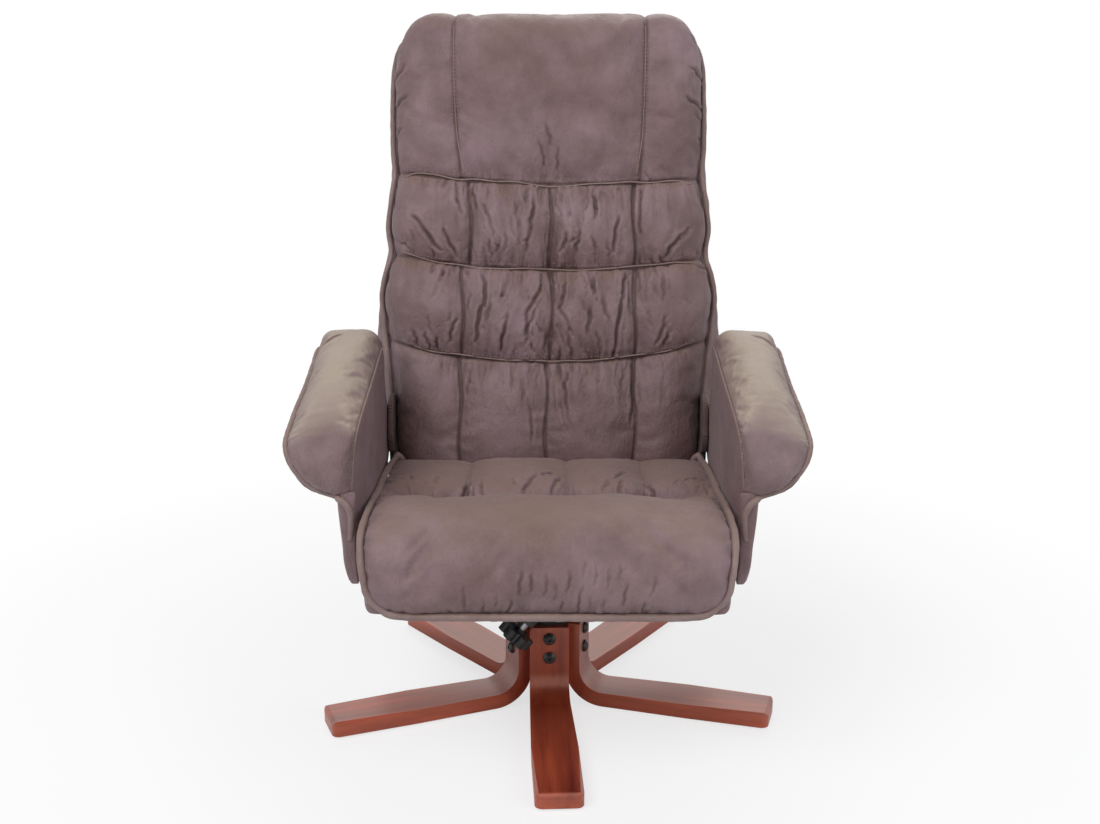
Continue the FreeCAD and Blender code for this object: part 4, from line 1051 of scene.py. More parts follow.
    @property
    def placed(self) -> Matrix:
        """Leans the upright back about its foot."""
        return Matrix.Translation(Vector(self.foot) * MM) @ Matrix.Rotation(math.radians(-self.lean), 4, "X")

    def seams(self, x: np.ndarray) -> list[np.ndarray]:
        """Heights of the three level seams, which sag between the sides.

        Args:
            x: Places across, in millimetres.

        Returns:
            The heights, from the low seam up.
        """
        out = np.abs(x) / self.half_width
        tilt = x / self.half_width
        return [centre + rise * out**power - slant * tilt for centre, rise, power, slant in self.level_seams]

    def head_seams(self, height: np.ndarray) -> list[np.ndarray]:
        """Places across of the headrest's two upright seams."""
        up = (height - self.level_seams[-1][0]) / self.head_height
        return [place + lean * up + bend * up**2 for place, lean, bend in self.upright_seams]

    def channel_lines(self, height: np.ndarray, seams: Sequence[np.ndarray]) -> list[np.ndarray]:
        """Places across of the upright channels at those heights.

        Args:
            height: Heights on the back.
            seams: The level seams' heights there.

        Returns:
            The places across.
        """
        low, middle, _ = seams
        lines = []
        for bottom, centre, top in self.channels:
            place = np.where(height < low, bottom, np.where(height < middle, centre, top))
            lines.append(place + 2.5 * np.sin(height / 23 + bottom))
        return lines

    def panel(self) -> Panel:
        """The stuffed front between the welts.

        Returns:
            The panel, with its rows from the bottom up.
        """
        right = [
            (half - self.welt_inset, self.welt_depth, height - self.crown_drop * (height > self.crown_from))
            for height, half, _, _ in self.rows
        ]
        left = [(-x, y, z) for x, y, z in right]
        middle = [(0, depth, height) for _, _, height, depth in self.rows]
        return Panel(left, middle, right, columns=78, rows=104, left_turn=0.115, right_turn=0.115)

    def levels(self, at: Surface) -> tuple[np.ndarray, list[np.ndarray], np.ndarray]:
        """Heights, seam heights and how far each place is from the sides, from 0 to 1.

        Args:
            at: Places on the panel.

        Returns:
            The three, each with a number for every place.
        """
        top = ramp(1 - at.along, 0, 0.07)
        return at.z, self.seams(at.x), at.clear_of_sides(0.13) * top

    def stuffed(self, at: Surface) -> np.ndarray:
        """The full shape of the panels between their seams.

        Args:
            at: Places on the panel.

        Returns:
            The height to add, in millimetres.
        """
        height, (low, middle, high), side = self.levels(at)
        shares = [
            (height + 120) / (low + 120),
            (height - low) / (middle - low),
            (height - middle) / (high - middle),
            np.minimum((height - high) / 330, 0.5),
        ]
        relief = np.zeros_like(height)
        for share, crown in zip(shares, self.crowns):
            relief += crown * np.where((share > 0) & (share < 1), dome(share, 0.62), 0)
        below = 1 - ramp(height, high - 3, high + 3)
        near = np.minimum.reduce([np.abs(height - seam) for seam in (low, middle, high)])
        for place in self.channel_lines(height, (low, middle, high)):
            across = np.abs(at.x - place)
            relief -= below * (6.5 * bell(across, 22) + 4 * bell(across, 8)) * (0.65 + 0.35 * bell(near, 40))
        for place in self.head_seams(height):
            relief -= (1 - below) * 4 * bell(at.x - place, 15)
        valley = ramp(560 - height, 0, 70) * bell((at.x - 5) / (1 + np.clip(520 - height, 0, 90) / 70), 17)
        relief -= (1 - below) * (13 * valley + 3 * bell(at.x, 10) * bell(height - 546, 12))
        return relief * side - 3 * (1 - side) * bell(near, 9)

    def gathers(self, at: Surface) -> np.ndarray:
        """Seam grooves, folds and the small wrinkles that the gathered cloth makes.

        Args:
            at: Places on the panel.

        Returns:
            The height to add, in millimetres.
        """
        height, seams, side = self.levels(at)
        relief = 1.2 * lattice_noise(at.x / 38, height / 52, 3)
        below = 1 - ramp(height, seams[2] - 2, seams[2] + 2)
        for index, seam in enumerate(seams):
            away = height - seam
            relief -= 4.8 * bell(away, 2.6)
            reach = np.where(away > 0, 22.0 if index < 2 else 9.0, 30.0)
            strength = np.exp(-np.abs(away) / reach) * (1 - bell(away, 5)) * (0.45 + 0.55 * bell(at.x, 190))
            wander = at.x + 3 * lattice_noise(at.x / 17, away / 12, 17)
            ridges = lattice_noise(wander / 6.5, away / 60 + index * 7, 11 + index)
            relief += strength * tucked(ridges, 3.4, 3.2)
        for place in self.channel_lines(height, seams):
            relief -= below * 4.6 * bell(at.x - place, 2.3)
        warp = at.x + 5 * lattice_noise(at.x / 21, height / 26, 44)
        wrinkles = lattice_noise(warp / 10, height / 48, 45)
        crinkle = lattice_noise(warp / 5.2, height / 19, 46)
        middle_cells = below * (0.3 + 0.7 * bell(at.x, 165)) * ramp(height, 10, 150)
        grooves = 2.6 * bell(wrinkles - 0.05, 0.1) * ramp(crinkle, -0.5, 0.5)
        relief += middle_cells * (2.1 * wrinkles - grooves)
        relief += 0.45 * crinkle * (0.4 + 0.6 * middle_cells)
        for place in self.head_seams(height):
            relief -= (1 - below) * 3.6 * bell(at.x - place, 3.2)
        edge = at.inward * self.front_width
        tucks = lattice_noise(height / 13 + edge / 26, edge / 60 + 3 * (at.x > 0), 31)
        relief += beside_welt(edge, 6, 26) * tucked(tucks, 2.3, 1.6)
        fine = lattice_noise(at.x / 4.2, height / 30, 41) * bell(at.x - 60, 60) * bell(height - 560, 70)
        relief += 0.5 * fine * (1 - below)
        return relief * (0.25 + 0.75 * side) + folds(at.x, height, self.creases, 2.4)

    def held(self, piece: bpy.types.Object, panel: Panel) -> np.ndarray:
        """How firmly the cover is sewn down at each vertex.

        Args:
            piece: The cover.
            panel: The panel that it was laid over.

        Returns:
            One number from 0 to 1 for each vertex.
        """
        across, along, rim = read_shares(piece.data)
        at = panel.surface(across, along)
        height, seams, _ = self.levels(at)
        firm = np.maximum.reduce([bell(height - seam, 8) for seam in seams])
        below = height < seams[2]
        for place in self.channel_lines(height, seams):
            firm = np.maximum(firm, 0.7 * bell(at.x - place, 8) * below)
        for place in self.head_seams(height):
            firm = np.maximum(firm, bell(at.x - place, 8) * ~below)
        return sewn(rim, firm)

    def front(self) -> bpy.types.Object:
        """Builds the stuffed cover, closed behind its sewn edge.

        Returns:
            The cover, drawn upright.
        """
        panel = self.panel()
        rim = [
            lambda p: p * (0.985, 1, 0.994) + (0, 8, 0),
            lambda p: p * (0.95, 0, 0.975) + (0, 64, 0),
            lambda p: p * (0.93, 0, 0.96) + (0, 84, 0),
        ]
        piece = settle(panel_mesh(panel, self.stuffed, rim), "back_cover", self.cover)
        self.stuffing.fill(piece, self.held(piece, panel))
        refine(piece, 2)
        emboss(piece, panel, self.gathers)
        return piece

    def welt_line(self) -> np.ndarray:
        """The piping's path: up one side, over the top and down the other.

        Returns:
            The points of the path, in millimetres.
        """
        depth = self.welt_depth - 6
        left = [(1.5 - half - 2 * bell(height - 560, 40), depth, height) for height, half, _, _ in self.rows]
        right = [(half - 1.5, depth, height) for height, half, _, _ in self.rows]
        top = [(-150, depth + 4, 735), (0, depth + 4, 737), (150, depth + 4, 735)]
        return smooth_path(left + top + right[::-1], 4.5)

    def stitch_lines(self) -> list[np.ndarray]:
        """Rows of top stitching beside the seams.

        Returns:
            Lines of points, in millimetres.
        """
        lines = []
        x = np.linspace(-246, 246, 80)
        for seam in self.seams(x):
            lines += [np.stack([x, np.full_like(x, -6), seam + away], axis=1) for away in (-6.0, 6.5)]
        height = np.linspace(462, 690, 50)
        for place in self.head_seams(height):
            for away in (-6.0, 6.0):
                lines.append(np.stack([place + away, np.full_like(height, -16), height], axis=1))
        return lines

    def seam_lines(self) -> list[np.ndarray]:
        """Lines along the level seams and the headrest's upright ones.

        Returns:
            Lines of points, in millimetres.
        """
        x = np.linspace(-250, 250, 110)
        lines = [np.stack([x, np.full_like(x, -4), seam], axis=1) for seam in self.seams(x)]
        height = np.linspace(465, 712, 70)
        for place in self.head_seams(height):
            depth = np.full_like(height, -12) + 18 * ramp(height, 690, 730)
            lines.append(np.stack([place, depth, height], axis=1))
        return lines

    def flap(self, side: int) -> bpy.types.Object:
        """Builds the small padded flap that covers one pivot plate.

        Args:
            side: 1 for the sitter's left, -1 for the right.

        Returns:
            The flap.
        """
        bm = bmesh.new()
        bmesh.ops.create_cube(bm, size=1)
        low, high = (np.array(corner) for corner in self.flap_box)
        middle = (low + high) / 2 * (side, 1, 1)
        place = Matrix.Translation(middle * MM) @ Matrix.Diagonal((*((high - low) * MM), 1))
        bmesh.ops.transform(bm, matrix=place, verts=bm.verts)
        upright = [edge for edge in bm.edges if abs(edge.verts[0].co.x - edge.verts[1].co.x) > 1e-6]
        bmesh.ops.bevel(bm, geom=upright, affect="EDGES", offset=0.032, segments=10, profile=0.5, material=-1)
        bmesh.ops.bevel(bm, geom=bm.edges, affect="EDGES", offset=0.003, segments=3, profile=0.5, material=-1)
        # The flap stores no fold depth, so the suede paints it mostly in its shade colour: painted shadow
        # beside the arm
        return settle(bm, f"pivot_flap_{'left' if side > 0 else 'right'}", self.cover)

    def spread(self, points: np.ndarray, offset: np.ndarray, depth: float) -> np.ndarray:
        """Moves an outline outwards in its plane and puts it at a depth.

        Args:
            points: The outline.
            offset: How far out each point moves.
            depth: The depth that they are put at.

        Returns:
            The moved points.
        """
        over_plates = ramp(points[:, 2], 32, 78)
        hips = (1 - ramp(points[:, 2], 185, 265)) * over_plates
        offset = offset * (0.5 + 0.5 * over_plates) + 12 * ramp(offset, 3, 10) * hips
        away = np.stack([points[:, 0] / self.half_width, (points[:, 2] - 352) / 388], axis=1)
        way = np.sign(away) * np.abs(away) ** 5
        way /= np.maximum(np.linalg.norm(way, axis=1), 1e-9)[:, None]
        moved = points.copy()
        moved[:, 0] += way[:, 0] * offset
        moved[:, 2] += way[:, 1] * offset
        moved[:, 1] = depth
        return moved

    def shell(self) -> bpy.types.Object:
        """Builds the side band and the rear panel as one padded shell.

        Returns:
            The shell, drawn upright.
        """
        left = [(half - 2, 124, height) for height, half, _, _ in self.rows]
        right = [(2 - half, 124, height) for height, half, _, _ in self.rows]
        middle = [(0, 137, height - 3 * (height >= self.crown_from)) for _, _, height, _ in self.rows]
        panel = Panel(left, middle, right, columns=62, rows=84, left_turn=0.06, right_turn=0.06, fall=0.1)

        def relief(at: Surface) -> np.ndarray:
            """Soft unevenness, and small tucks along the rear piping.

            Args:
                at: Places on the panel.

            Returns:
                The height to add, in millimetres.
            """
            edge = at.inward * self.rear_width
            tucks = lattice_noise(at.z / 16, edge / 50, 52)
            bottom = ramp(at.along, 0, 0.03) * ramp(1 - at.along, 0, 0.03)
            broad = 1.6 * lattice_noise(at.x / 90, at.z / 110, 51)
            return bottom * (broad + 3.5 * bell(at.x, 230) + 1.4 * np.exp(-edge / 30) * tucks)

        def ring(offset: float, depth: float, ripple: float) -> RingStep:
            """One ring of the band, with the ripple of gathered cloth.

            Args:
                offset: How far outside the rear edge.
                depth: Its depth.
                ripple: Height of the ripple.

            Returns:
                What moves the sewn edge's points there.
            """

            def step(p: np.ndarray) -> np.ndarray:
                """Moves the rear edge's points out to the ring."""
                gathered = ripple * lattice_noise(p[:, 2] / 15 + p[:, 0] / 15, p[:, 0] / 400, 53)
                return self.spread(p, offset + gathered, depth)

            return step

        rings = ((6, 119, 0.5), (9, 108, 1.0), (10, 92, 1.2), (8, 72, 1.2), (4, 56, 0.8), (-1, 46, 0))
        rim = [ring(*sizes) for sizes in rings]
        piece = settle(panel_mesh(panel, relief, rim), "back_shell_cover", self.cover)
        refine(piece)
        emboss(piece, panel, lambda at: 0.6 * lattice_noise(at.x / 22, at.z / 30, 54))
        return piece

    def rear_welt_line(self) -> np.ndarray:
        """The piping between the band and the rear panel.

        Returns:
            The points of the path, in millimetres.
        """
        right = [(half + 2, self.rear_depth, height) for height, half, _, _ in self.rows]
        left = [(-x, y, z) for x, y, z in right]
        top = [(-150, self.rear_depth, 740), (0, self.rear_depth, 741), (150, self.rear_depth, 740)]
        return smooth_path(left + top + right[::-1], 5)

    def build(self) -> list[bpy.types.Object]:
        """Makes every piece of the back.

        Returns:
            The cover, shell, welts and stitching, at rest on the body back.
        """
        front = self.front()
        shell = self.shell()
        stitches = Thread().sew(self.stitch_lines(), front, "back_stitching", self.thread)
        welts = [
            settle(tube(self.welt_line(), self.welt_radius, pucker=0.07), "back_piping", self.welt),
            settle(
                tube(self.rear_welt_line(), self.rear_welt_radius, sides=8, pucker=0.05),
                "back_rear_piping",
                self.welt,
            ),
        ]
        for number, line in enumerate(self.seam_lines(), 1):
            ridge = tube(laid(front, line, 0.2), self.seam_radius, sides=8, pucker=0.1)
            welts.append(settle(ridge, f"back_seam_{number}", self.welt))
        flaps = [self.flap(1), self.flap(-1)]
        welts += flaps
        for piece in (front, shell, stitches, *welts):
            piece.data.transform(self.placed)
        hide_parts("back_cushion")
        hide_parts("back_shell")
        return [front, shell, stitches, *welts]


@dataclass
class SeatPad:
    """The seat cushion: a front panel that rolls over the nose, and tufted columns behind a cross seam."""

    cover: bpy.types.Material
    welt: bpy.types.Material
    thread: bpy.types.Material
    hinge: Point = (0.0, -330.0, 290.0)
    tilt: float = 8.0
    # Length of the cover's middle line, and where the cross seam lies on it
    length: float = 679.0
    seam_run: float = 378.0
    # Width of the cover between its welts, over the swell
    width: float = 560.0
    welt_inset: float = 6.0
    piping: float = 5.6
    # Places across of the tufts on the seam, and of the columns' valleys behind it
    tufts: Row = (-133.0, 20.0, 166.0)
    channels: Row = (-126.0, 29.0, 152.0)
    # The piping along the front hem, and its end behind the seat on the sitter's left
    hem: tuple[Point, ...] = (
        (-208, -338, -3), (-110, -340, -4), (0, -341, -4), (110, -340, -4), (208, -338, -3),
    )
    knot: tuple[Point, ...] = ((251, 110, 145), (243, 115, 135))
    stuffing: Stuffing = Stuffing(pressure=4.0, slack=0.015, frames=16, reach=22.0)
    # Half width, place and height of the edge, place and height of the middle
    rows: tuple[Row, ...] = (
        (213, -333, -1, -336, 0), (239, -335, 7, -356, 22), (254, -336, 26, -367, 47),
        (260, -335, 55, -366, 74), (264, -324, 80, -350, 98), (266, -298, 101, -316, 117),
        (266, -250, 112, -272, 127), (265, -195, 119, -222, 131), (264, -145, 122, -165, 129),
        (263, -105, 124, -114, 113), (263, -60, 128, -70, 129), (262, 0, 132, 0, 140),
        (260, 60, 135, 60, 142), (258, 105, 134, 106, 134), (260, 128, 116, 132, 105),
        (261, 140, 84, 144, 70),
    )
    # Start and end of each large crease, across and along the top from its front hem, and its depth
    creases: tuple[Fold, ...] = (
        (-18, 452, -37, 396, 5), (8, 474, -12, 444, 4), (20, 458, 8, 402, 4), (-125, 434, -133, 384, 5),
        (-105, 429, -103, 392, 3), (-176, 446, -175, 416, 3), (-217, 446, -215, 432, 3),
        (-53, 434, -51, 414, 3), (94, 429, 86, 402, 3), (115, 429, 111, 392, 4), (123, 474, 103, 438, 4),
        (156, 428, 166, 384, 5), (209, 434, 199, 414, 3), (246, 440, 213, 426, 5),
        (-133, 368, -150, 330, 4), (-128, 368, -110, 336, 3), (20, 368, 2, 334, 4), (24, 366, 42, 338, 3),
        (166, 368, 150, 336, 4), (170, 366, 190, 340, 3), (-244, 300, -226, 318, 3),
        (246, 296, 224, 316, 3), (-60, 368, -66, 346, 2), (90, 368, 84, 346, 2),
    )
    # The same for the pulls on the nose
    pulls: tuple[Fold, ...] = (
        (-36, 74, -39, 42, 2.6), (-50, 30, -56, 4, 3), (-21, 72, -24, 46, 2.6), (-1, 68, -4, 40, 3),
        (31, 74, 27, 46, 2.6), (47, 52, 41, 8, 3.4), (110, 56, 104, 27, 3), (134, 30, 131, 6, 3),
        (150, 68, 143, 42, 2.4), (-115, 54, -116, 12, 2.6), (68, 84, 66, 58, 2.2), (86, 78, 84, 54, 2.2),
        (12, 58, 10, 30, 2.2), (60, 40, 57, 12, 2.2), (-70, 40, -72, 20, 2), (78, 32, 77, 10, 2.2),
        (20, 30, 18, 8, 2.2), (52, 88, 50, 66, 2), (100, 84, 98, 66, 2), (-88, 34, -90, 8, 1.8),
    )

    @property
    def placed(self) -> Matrix:
        """Tilts the level seat about its front lower edge.

        Returns:
            The move from the level seat to its place.
        """
        hinge = Vector(self.hinge) * MM
        turn = Matrix.Rotation(math.radians(-self.tilt), 4, "X")
        return Matrix.Translation(hinge) @ turn @ Matrix.Translation(-hinge)

    def panel(self) -> Panel:
        """The cover between the side welts, from the front hem over the nose to the rear.

        Returns:
            The panel, with its rows from the front hem to the rear.
        """
        floor = self.hinge[2]
        right = [(half - self.welt_inset, y, z + floor) for half, y, z, _, _ in self.rows]
        left = [(-x, y, z) for x, y, z in right]
        middle = [(0, y, z + floor) for _, _, _, y, z in self.rows]
        return Panel(left, middle, right, columns=76, rows=96, left_turn=0.09, right_turn=0.09)

    def run(self, at: Surface) -> np.ndarray:
        """Distance along the middle from the front hem."""
        return at.along * self.length

    def stuffed(self, at: Surface) -> np.ndarray:
        """The full shape: tufts on the seam and rounded columns behind it.

        Args:
            at: Places on the panel.

        Returns:
            The height to add, in millimetres.
        """
        run = self.run(at)
        side = at.clear_of_sides(0.12)
        ends = ramp(run, 0, 26) * ramp(self.length - run, 0, 50)
        behind = ramp(run, self.seam_run - 4, self.seam_run + 6)
        away = run - self.seam_run
        relief = -6.5 * bell(away, 20) - 2.5 * bell(away, 7)
        relief += 3.5 * bell(away - 44, 26) + 3.5 * bell(away + 44, 34)
        for place in self.tufts:
            near = np.hypot((at.x - place) / 1.15, away)
            relief -= 9 * bell(near, 28) + 4 * bell(near, 12)
            relief -= 11 * bell(at.x - place, 34) * bell(away + 42, 30)
        for place in self.channels:
            valley = 6 * bell(at.x - place, 19) + 2.5 * bell(at.x - place, 8)
            relief -= behind * valley * bell(away, 210)
        relief += 2.2 * lattice_noise(at.x / 85, run / 95, 61)
        return relief * side * ends

    def gathers(self, at: Surface) -> np.ndarray:
        """The seam's groove, folds beside it, the nose's upright wrinkles and tucks along the welt.

        Args:
            at: Places on the panel.

        Returns:
            The height to add, in millimetres.
        """
        run = self.run(at)
        away = run - self.seam_run
        side = at.clear_of_sides(0.05)
        behind = ramp(run, self.seam_run, self.seam_run + 8)
        relief = 0.9 * lattice_noise(at.x / 36, run / 44, 62) - 4.2 * bell(away, 2.6)
        relief += 0.35 * lattice_noise(at.x / 6, run / 9, 69)
        wander = at.x + 3 * lattice_noise(at.x / 17, run / 12, 68)
        ridges = lattice_noise(wander / 7.5, away / 60, 63)
        strength = np.exp(-np.abs(away) / np.where(away > 0, 26, 12)) * (1 - bell(away, 5))
        relief += strength * tucked(ridges, 2.1, 2.3)
        for place in self.channels:
            relief -= behind * 3.2 * bell(at.x - place, 3) * bell(away, 160)
        nose = ramp(run, 2, 14) * (1 - ramp(run, 46, 150))
        wander = at.x + 4 * lattice_noise(at.x / 20, run / 24, 67)
        pulls = lattice_noise(wander / 12, run / 75, 64)
        relief += nose * bell(at.x - 30, 150) * 1.2 * pulls
        hem = (1 - ramp(run, 10, 34)) * ramp(run, 0, 5)
        relief += hem * 1.3 * lattice_noise(at.x / 6.5, run / 30, 65)
        edge = at.inward * self.width
        tucks = lattice_noise(run / 12 + edge / 30, edge / 50 + 3 * (at.x > 0), 66)
        relief += beside_welt(edge, 5, 22) * tucked(tucks, 1.9, 1.3)
        creases = folds(at.x, run, self.creases, 2.7)
        return relief * (0.3 + 0.7 * side) + creases + folds(at.x, run, self.pulls, 2.0)

    def held(self, piece: bpy.types.Object, panel: Panel) -> np.ndarray:
        """How firmly the cover is sewn down at each vertex.

        Args:
            piece: The cover.
            panel: The panel that it was laid over.

        Returns:
            One number from 0 to 1 for each vertex.
        """
        across, along, rim = read_shares(piece.data)
        at = panel.surface(across, along)
        away = self.run(at) - self.seam_run
        firm = bell(away, 8)
        for place in self.tufts:
            firm = np.maximum(firm, bell(np.hypot(at.x - place, away), 14))
        for place in self.channels:
            firm = np.maximum(firm, 0.7 * bell(at.x - place, 8) * (away > 0))
        return sewn(rim, firm)

    def pad(self) -> bpy.types.Object:
        """Builds the stuffed cover, closed under the timber frame.

        Returns:
            The cover, drawn level.
        """
        panel = self.panel()
        floor = self.hinge[2]

        def ring(pull: float, share: float, height: float) -> RingStep:
            """One ring of the side walls: how far in, how much of the edge's rise is kept, and its height.

            Args:
                pull: Share of the place across and along that is kept.
                share: Share of the edge's rise that is kept.
                height: Height over the hem.

            Returns:
                What moves the sewn edge's points there.
            """

            def step(p: np.ndarray) -> np.ndarray:
                """Moves the edge's points down to the ring."""
                y = np.where(p[:, 1] > 128, (p[:, 1] + 10 * (1 - share)) * pull, p[:, 1] * pull)
                return np.stack([p[:, 0] * pull, y, floor + (p[:, 2] - floor) * share + height], axis=1)

            return step

        rings = ((1.0, 0.72, -1), (1.0, 0.3, -2), (0.997, 0, -3), (0.93, 0, -3), (0.93, 0, 34))
        rim = [ring(*sizes) for sizes in rings]
        piece = settle(panel_mesh(panel, self.stuffed, rim), "seat_pad_cover", self.cover)
        self.stuffing.fill(piece, self.held(piece, panel))
        refine(piece, 2)
        emboss(piece, panel, self.gathers)
        return piece

    def welt_line(self) -> np.ndarray:
        """The piping's path: up one side from the seam, round the lower corners and along the hem.

        Returns:
            The points of the path, in millimetres.
        """
        floor = self.hinge[2]
        right = [(half - 2, y - 2, z + floor + 3) for half, y, z, _, _ in self.rows[1:14]]
        right += [(x, y, floor + z) for x, y, z in self.knot]
        left = [(-x, y, z) for x, y, z in right]
        hem = [(x, y, floor + z) for x, y, z in self.hem]
        return smooth_path(left[::-1] + hem + right, 4.5)

    def stitch_lines(self) -> list[np.ndarray]:
        """Rows of top stitching beside the cross seam.

        Returns:
            Lines of points, in millimetres.
        """
        x = np.linspace(-246, 246, 80)
        across = (x + 262) / 524
        lines = []
        for away in (-7.0, 7.0):
            along = np.full_like(x, (self.seam_run + away) / self.length)
            lines.append(self.panel().points(across, along))
        return lines

    def build(self) -> list[bpy.types.Object]:
        """Makes every piece of the seat cushion.

        Returns:
            The cover, its piping and its stitching, at rest on the body seat.
        """
        pad = self.pad()
        stitches = Thread().sew(self.stitch_lines(), pad, "seat_stitching", self.thread)
        welts = [settle(tube(self.welt_line(), self.piping, pucker=0.09), "seat_piping", self.welt)]
        for piece in (pad, stitches, *welts):
            piece.data.transform(self.placed)
        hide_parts("seat_cushion")
        return [pad, stitches, *welts]


class Side(Enum):
    """The sitter's sides; left is +X."""

    LEFT = 1
    RIGHT = -1


@dataclass
class ArmRest:
    """One arm: a winged pad on top, a plain inner cover and a padded outer cover. It is drawn on the left."""

    cover: bpy.types.Material
    top_cover: bpy.types.Material
    welt: bpy.types.Material
    thread: bpy.types.Material
    side: Side
    piping: float = 5.0
    seam_radius: float = 2.1
    # Where the wing's flat underside starts, how far back it runs, and its height and rise
    front: float = -205.0
    depth: float = 327.0
    underside: float = 420.0
    rise: float = 60.0
    # Width of the wing over its swell and height of the inner cover, for the tucks along their seams
    wing_width: float = 110.0
    inner_height: float = 190.0
    stuffing: Stuffing = Stuffing(pressure=3.2, slack=0.012, frames=12, reach=10.0)
    inner: tuple[Point, ...] = (
        (285, -206, 426), (285, -207, 440), (284, -207, 458), (282, -206, 478), (280, -198, 498),
        (278, -178, 512), (276, -140, 523), (273, -80, 537), (271, -10, 549), (270, 60, 560),
        (270, 108, 563), (271, 121, 559),
    )
    crest: tuple[Point, ...] = (
        (300, -214, 424), (312, -222, 438), (319, -227, 457), (323, -225, 478), (324, -213, 498),
        (324, -188, 515), (323, -142, 532), (323, -80, 553), (322, -10, 571), (321, 60, 585),
        (320, 102, 592), (319, 123, 578),
    )
    outer: tuple[Point, ...] = (
        (308, -206, 421), (336, -207, 432), (356, -206, 449), (370, -202, 467), (378, -190, 481),
        (382, -170, 490), (382, -135, 499), (380, -80, 512), (376, -10, 527), (373, 60, 545),
        (371, 108, 558), (370, 121, 560),
    )
    # Start and end of each fold across the top, and its depth
    creases: tuple[Fold, ...] = ((372, 58, 326, 72, 2.4), (352, 40, 318, 46, 1.2), (366, -40, 350, -34, 1.4))

    @property
    def word(self) -> str:
        """The side's name."""
        return self.side.name.lower()

    def seed(self, number: int) -> int:
        """A lattice of this side's own, so that the two arms wrinkle differently."""
        return number + (50 if self.side is Side.RIGHT else 0)

    def floor(self, y: np.ndarray | float) -> np.ndarray | float:
        """Height of the wing's flat underside."""
        return self.underside + (y - self.front) / self.depth * self.rise

    def wing_panel(self) -> Panel:
        """The wing's top between its inner seam and its outer welt."""
        return Panel(self.inner, self.crest, self.outer, columns=30, rows=92, left_turn=0.26, right_turn=0.22)

    def wing(self) -> bpy.types.Object:
        """Builds the padded top that rolls over the front and spreads outwards.

        Returns:
            The cover, drawn on the left.
        """
        panel = self.wing_panel()

        def relief(at: Surface) -> np.ndarray:
            """Soft unevenness."""
            return at.clear_of_sides(0.2) * 1.6 * lattice_noise(at.y / 60, at.x / 60, self.seed(71))

        def ring(pull: float, share: float) -> RingStep:
            """One ring of the underside, drawn towards the arm's middle and down.

            Args:
                pull: Share of the distance from the arm's middle that is kept.
                share: Share of the rise over the underside that is kept.

            Returns:
                What moves the sewn edge's points there.
            """

            def step(p: np.ndarray) -> np.ndarray:
                """Moves the sewn edge's points down to the ring.

                Args:
                    p: The sewn edge's points.

                Returns:
                    The ring's points.
                """
                low = self.floor(p[:, 1])
                middle = 300 + 22 * (1 - ramp(p[:, 2], 424, 470))
                x = middle + (p[:, 0] - middle) * pull
                x = np.where(p[:, 0] < 292, np.maximum(p[:, 0] + 8, 279), x)
                return np.stack([x, np.clip(p[:, 1], -204, 121), low + (p[:, 2] - low) * share], axis=1)

            return step

        rim = [ring(1.0, 0.8), ring(0.93, 0.45), ring(0.72, 0.12), ring(0.35, 0.0)]
        piece = settle(panel_mesh(panel, relief, rim), f"arm_wing_cover_{self.word}", self.top_cover)
        rim_layer = read_layer(piece.data, "rim")
        self.stuffing.fill(piece, np.where(rim_layer > 0, 1.0, 0.0))
        refine(piece)

        def wrinkles(at: Surface) -> np.ndarray:
            """Fine wrinkles across the top and tucks along the welt and the front's double seam.

            Args:
                at: Places on the panel.

            Returns:
                The height to add, in millimetres.
            """
            inner_edge = at.across * self.wing_width
            outer_edge = (1 - at.across) * self.wing_width
            tucks = lattice_noise(at.along * 62, outer_edge / 22, self.seed(72))
            outward = np.exp(-outer_edge / 14) * ramp(outer_edge, 0, 5) * (1.5 * tucks - bell(tucks, 0.18))
            seam_tucks = lattice_noise(at.along * 75, inner_edge / 22, self.seed(73))
            inward = np.exp(-inner_edge / 9) * ramp(inner_edge, 0, 4) * 0.9 * seam_tucks
            across = lattice_noise(at.y / 13 + 0.3 * np.sin(at.x / 15), at.x / 55, self.seed(74))
            rear = ramp(at.y, -20, 60) * (1 - ramp(at.y, 90, 118))
            lines = folds(at.x, at.y, self.creases, 2.4)
            return outward + inward + at.clear_of_sides(0.06) * ((0.22 + 0.5 * rear) * across + lines)

        emboss(piece, panel, wrinkles)
        return piece

    def inner_cover(self) -> bpy.types.Object:
        """Builds the flat inner side up to the wing's seam.

        Returns:
            The cover, drawn on the left.
        """
        upper = [
            (286, -209, 424), (285, -209, 445), (284, -206, 470), (281, -196, 495), (278, -177, 511),
            (275, -140, 522), (272, -80, 536), (270, -10, 548), (269, 60, 559), (269, 106, 562),
            (269.6, 122, 552), (269.6, 138, 490), (269.6, 158, 448), (269.2, 185, 426),
        ]
        lower_x = (289, 288, 286, 281, 275, 270, 268, 268, 268, 269, 269.6, 269.6, 269.4, 269.2)
        lower_z = (372, 371, 370, 366, 360, 352, 346, 338, 332, 332, 342, 352, 360, 384)
        lower = [(x, y, z) for x, z, (_, y, _) in zip(lower_x, lower_z, upper)]
        middle = [
            ((low[0] + high[0]) / 2 - 2.5 * (low[1] < 100), low[1], (low[2] + high[2]) / 2)
            for low, high in zip(lower, upper)
        ]
        panel = Panel(lower, middle, upper, columns=28, rows=50, left_turn=0.06, right_turn=0.06)

        def relief(at: Surface) -> np.ndarray:
            """Slight unevenness."""
            edge = at.clear_of_sides(0.1) * (1 - ramp(at.y, 70, 100))
            return 0.7 * lattice_noise(at.y / 50, at.z / 50, self.seed(75)) * edge

        rim = [lambda p: np.stack([np.minimum(p[:, 0] + 7, 292), p[:, 1], p[:, 2]], axis=1)]
        piece = settle(panel_mesh(panel, relief, rim), f"arm_inner_cover_{self.word}", self.cover)
        refine(piece)

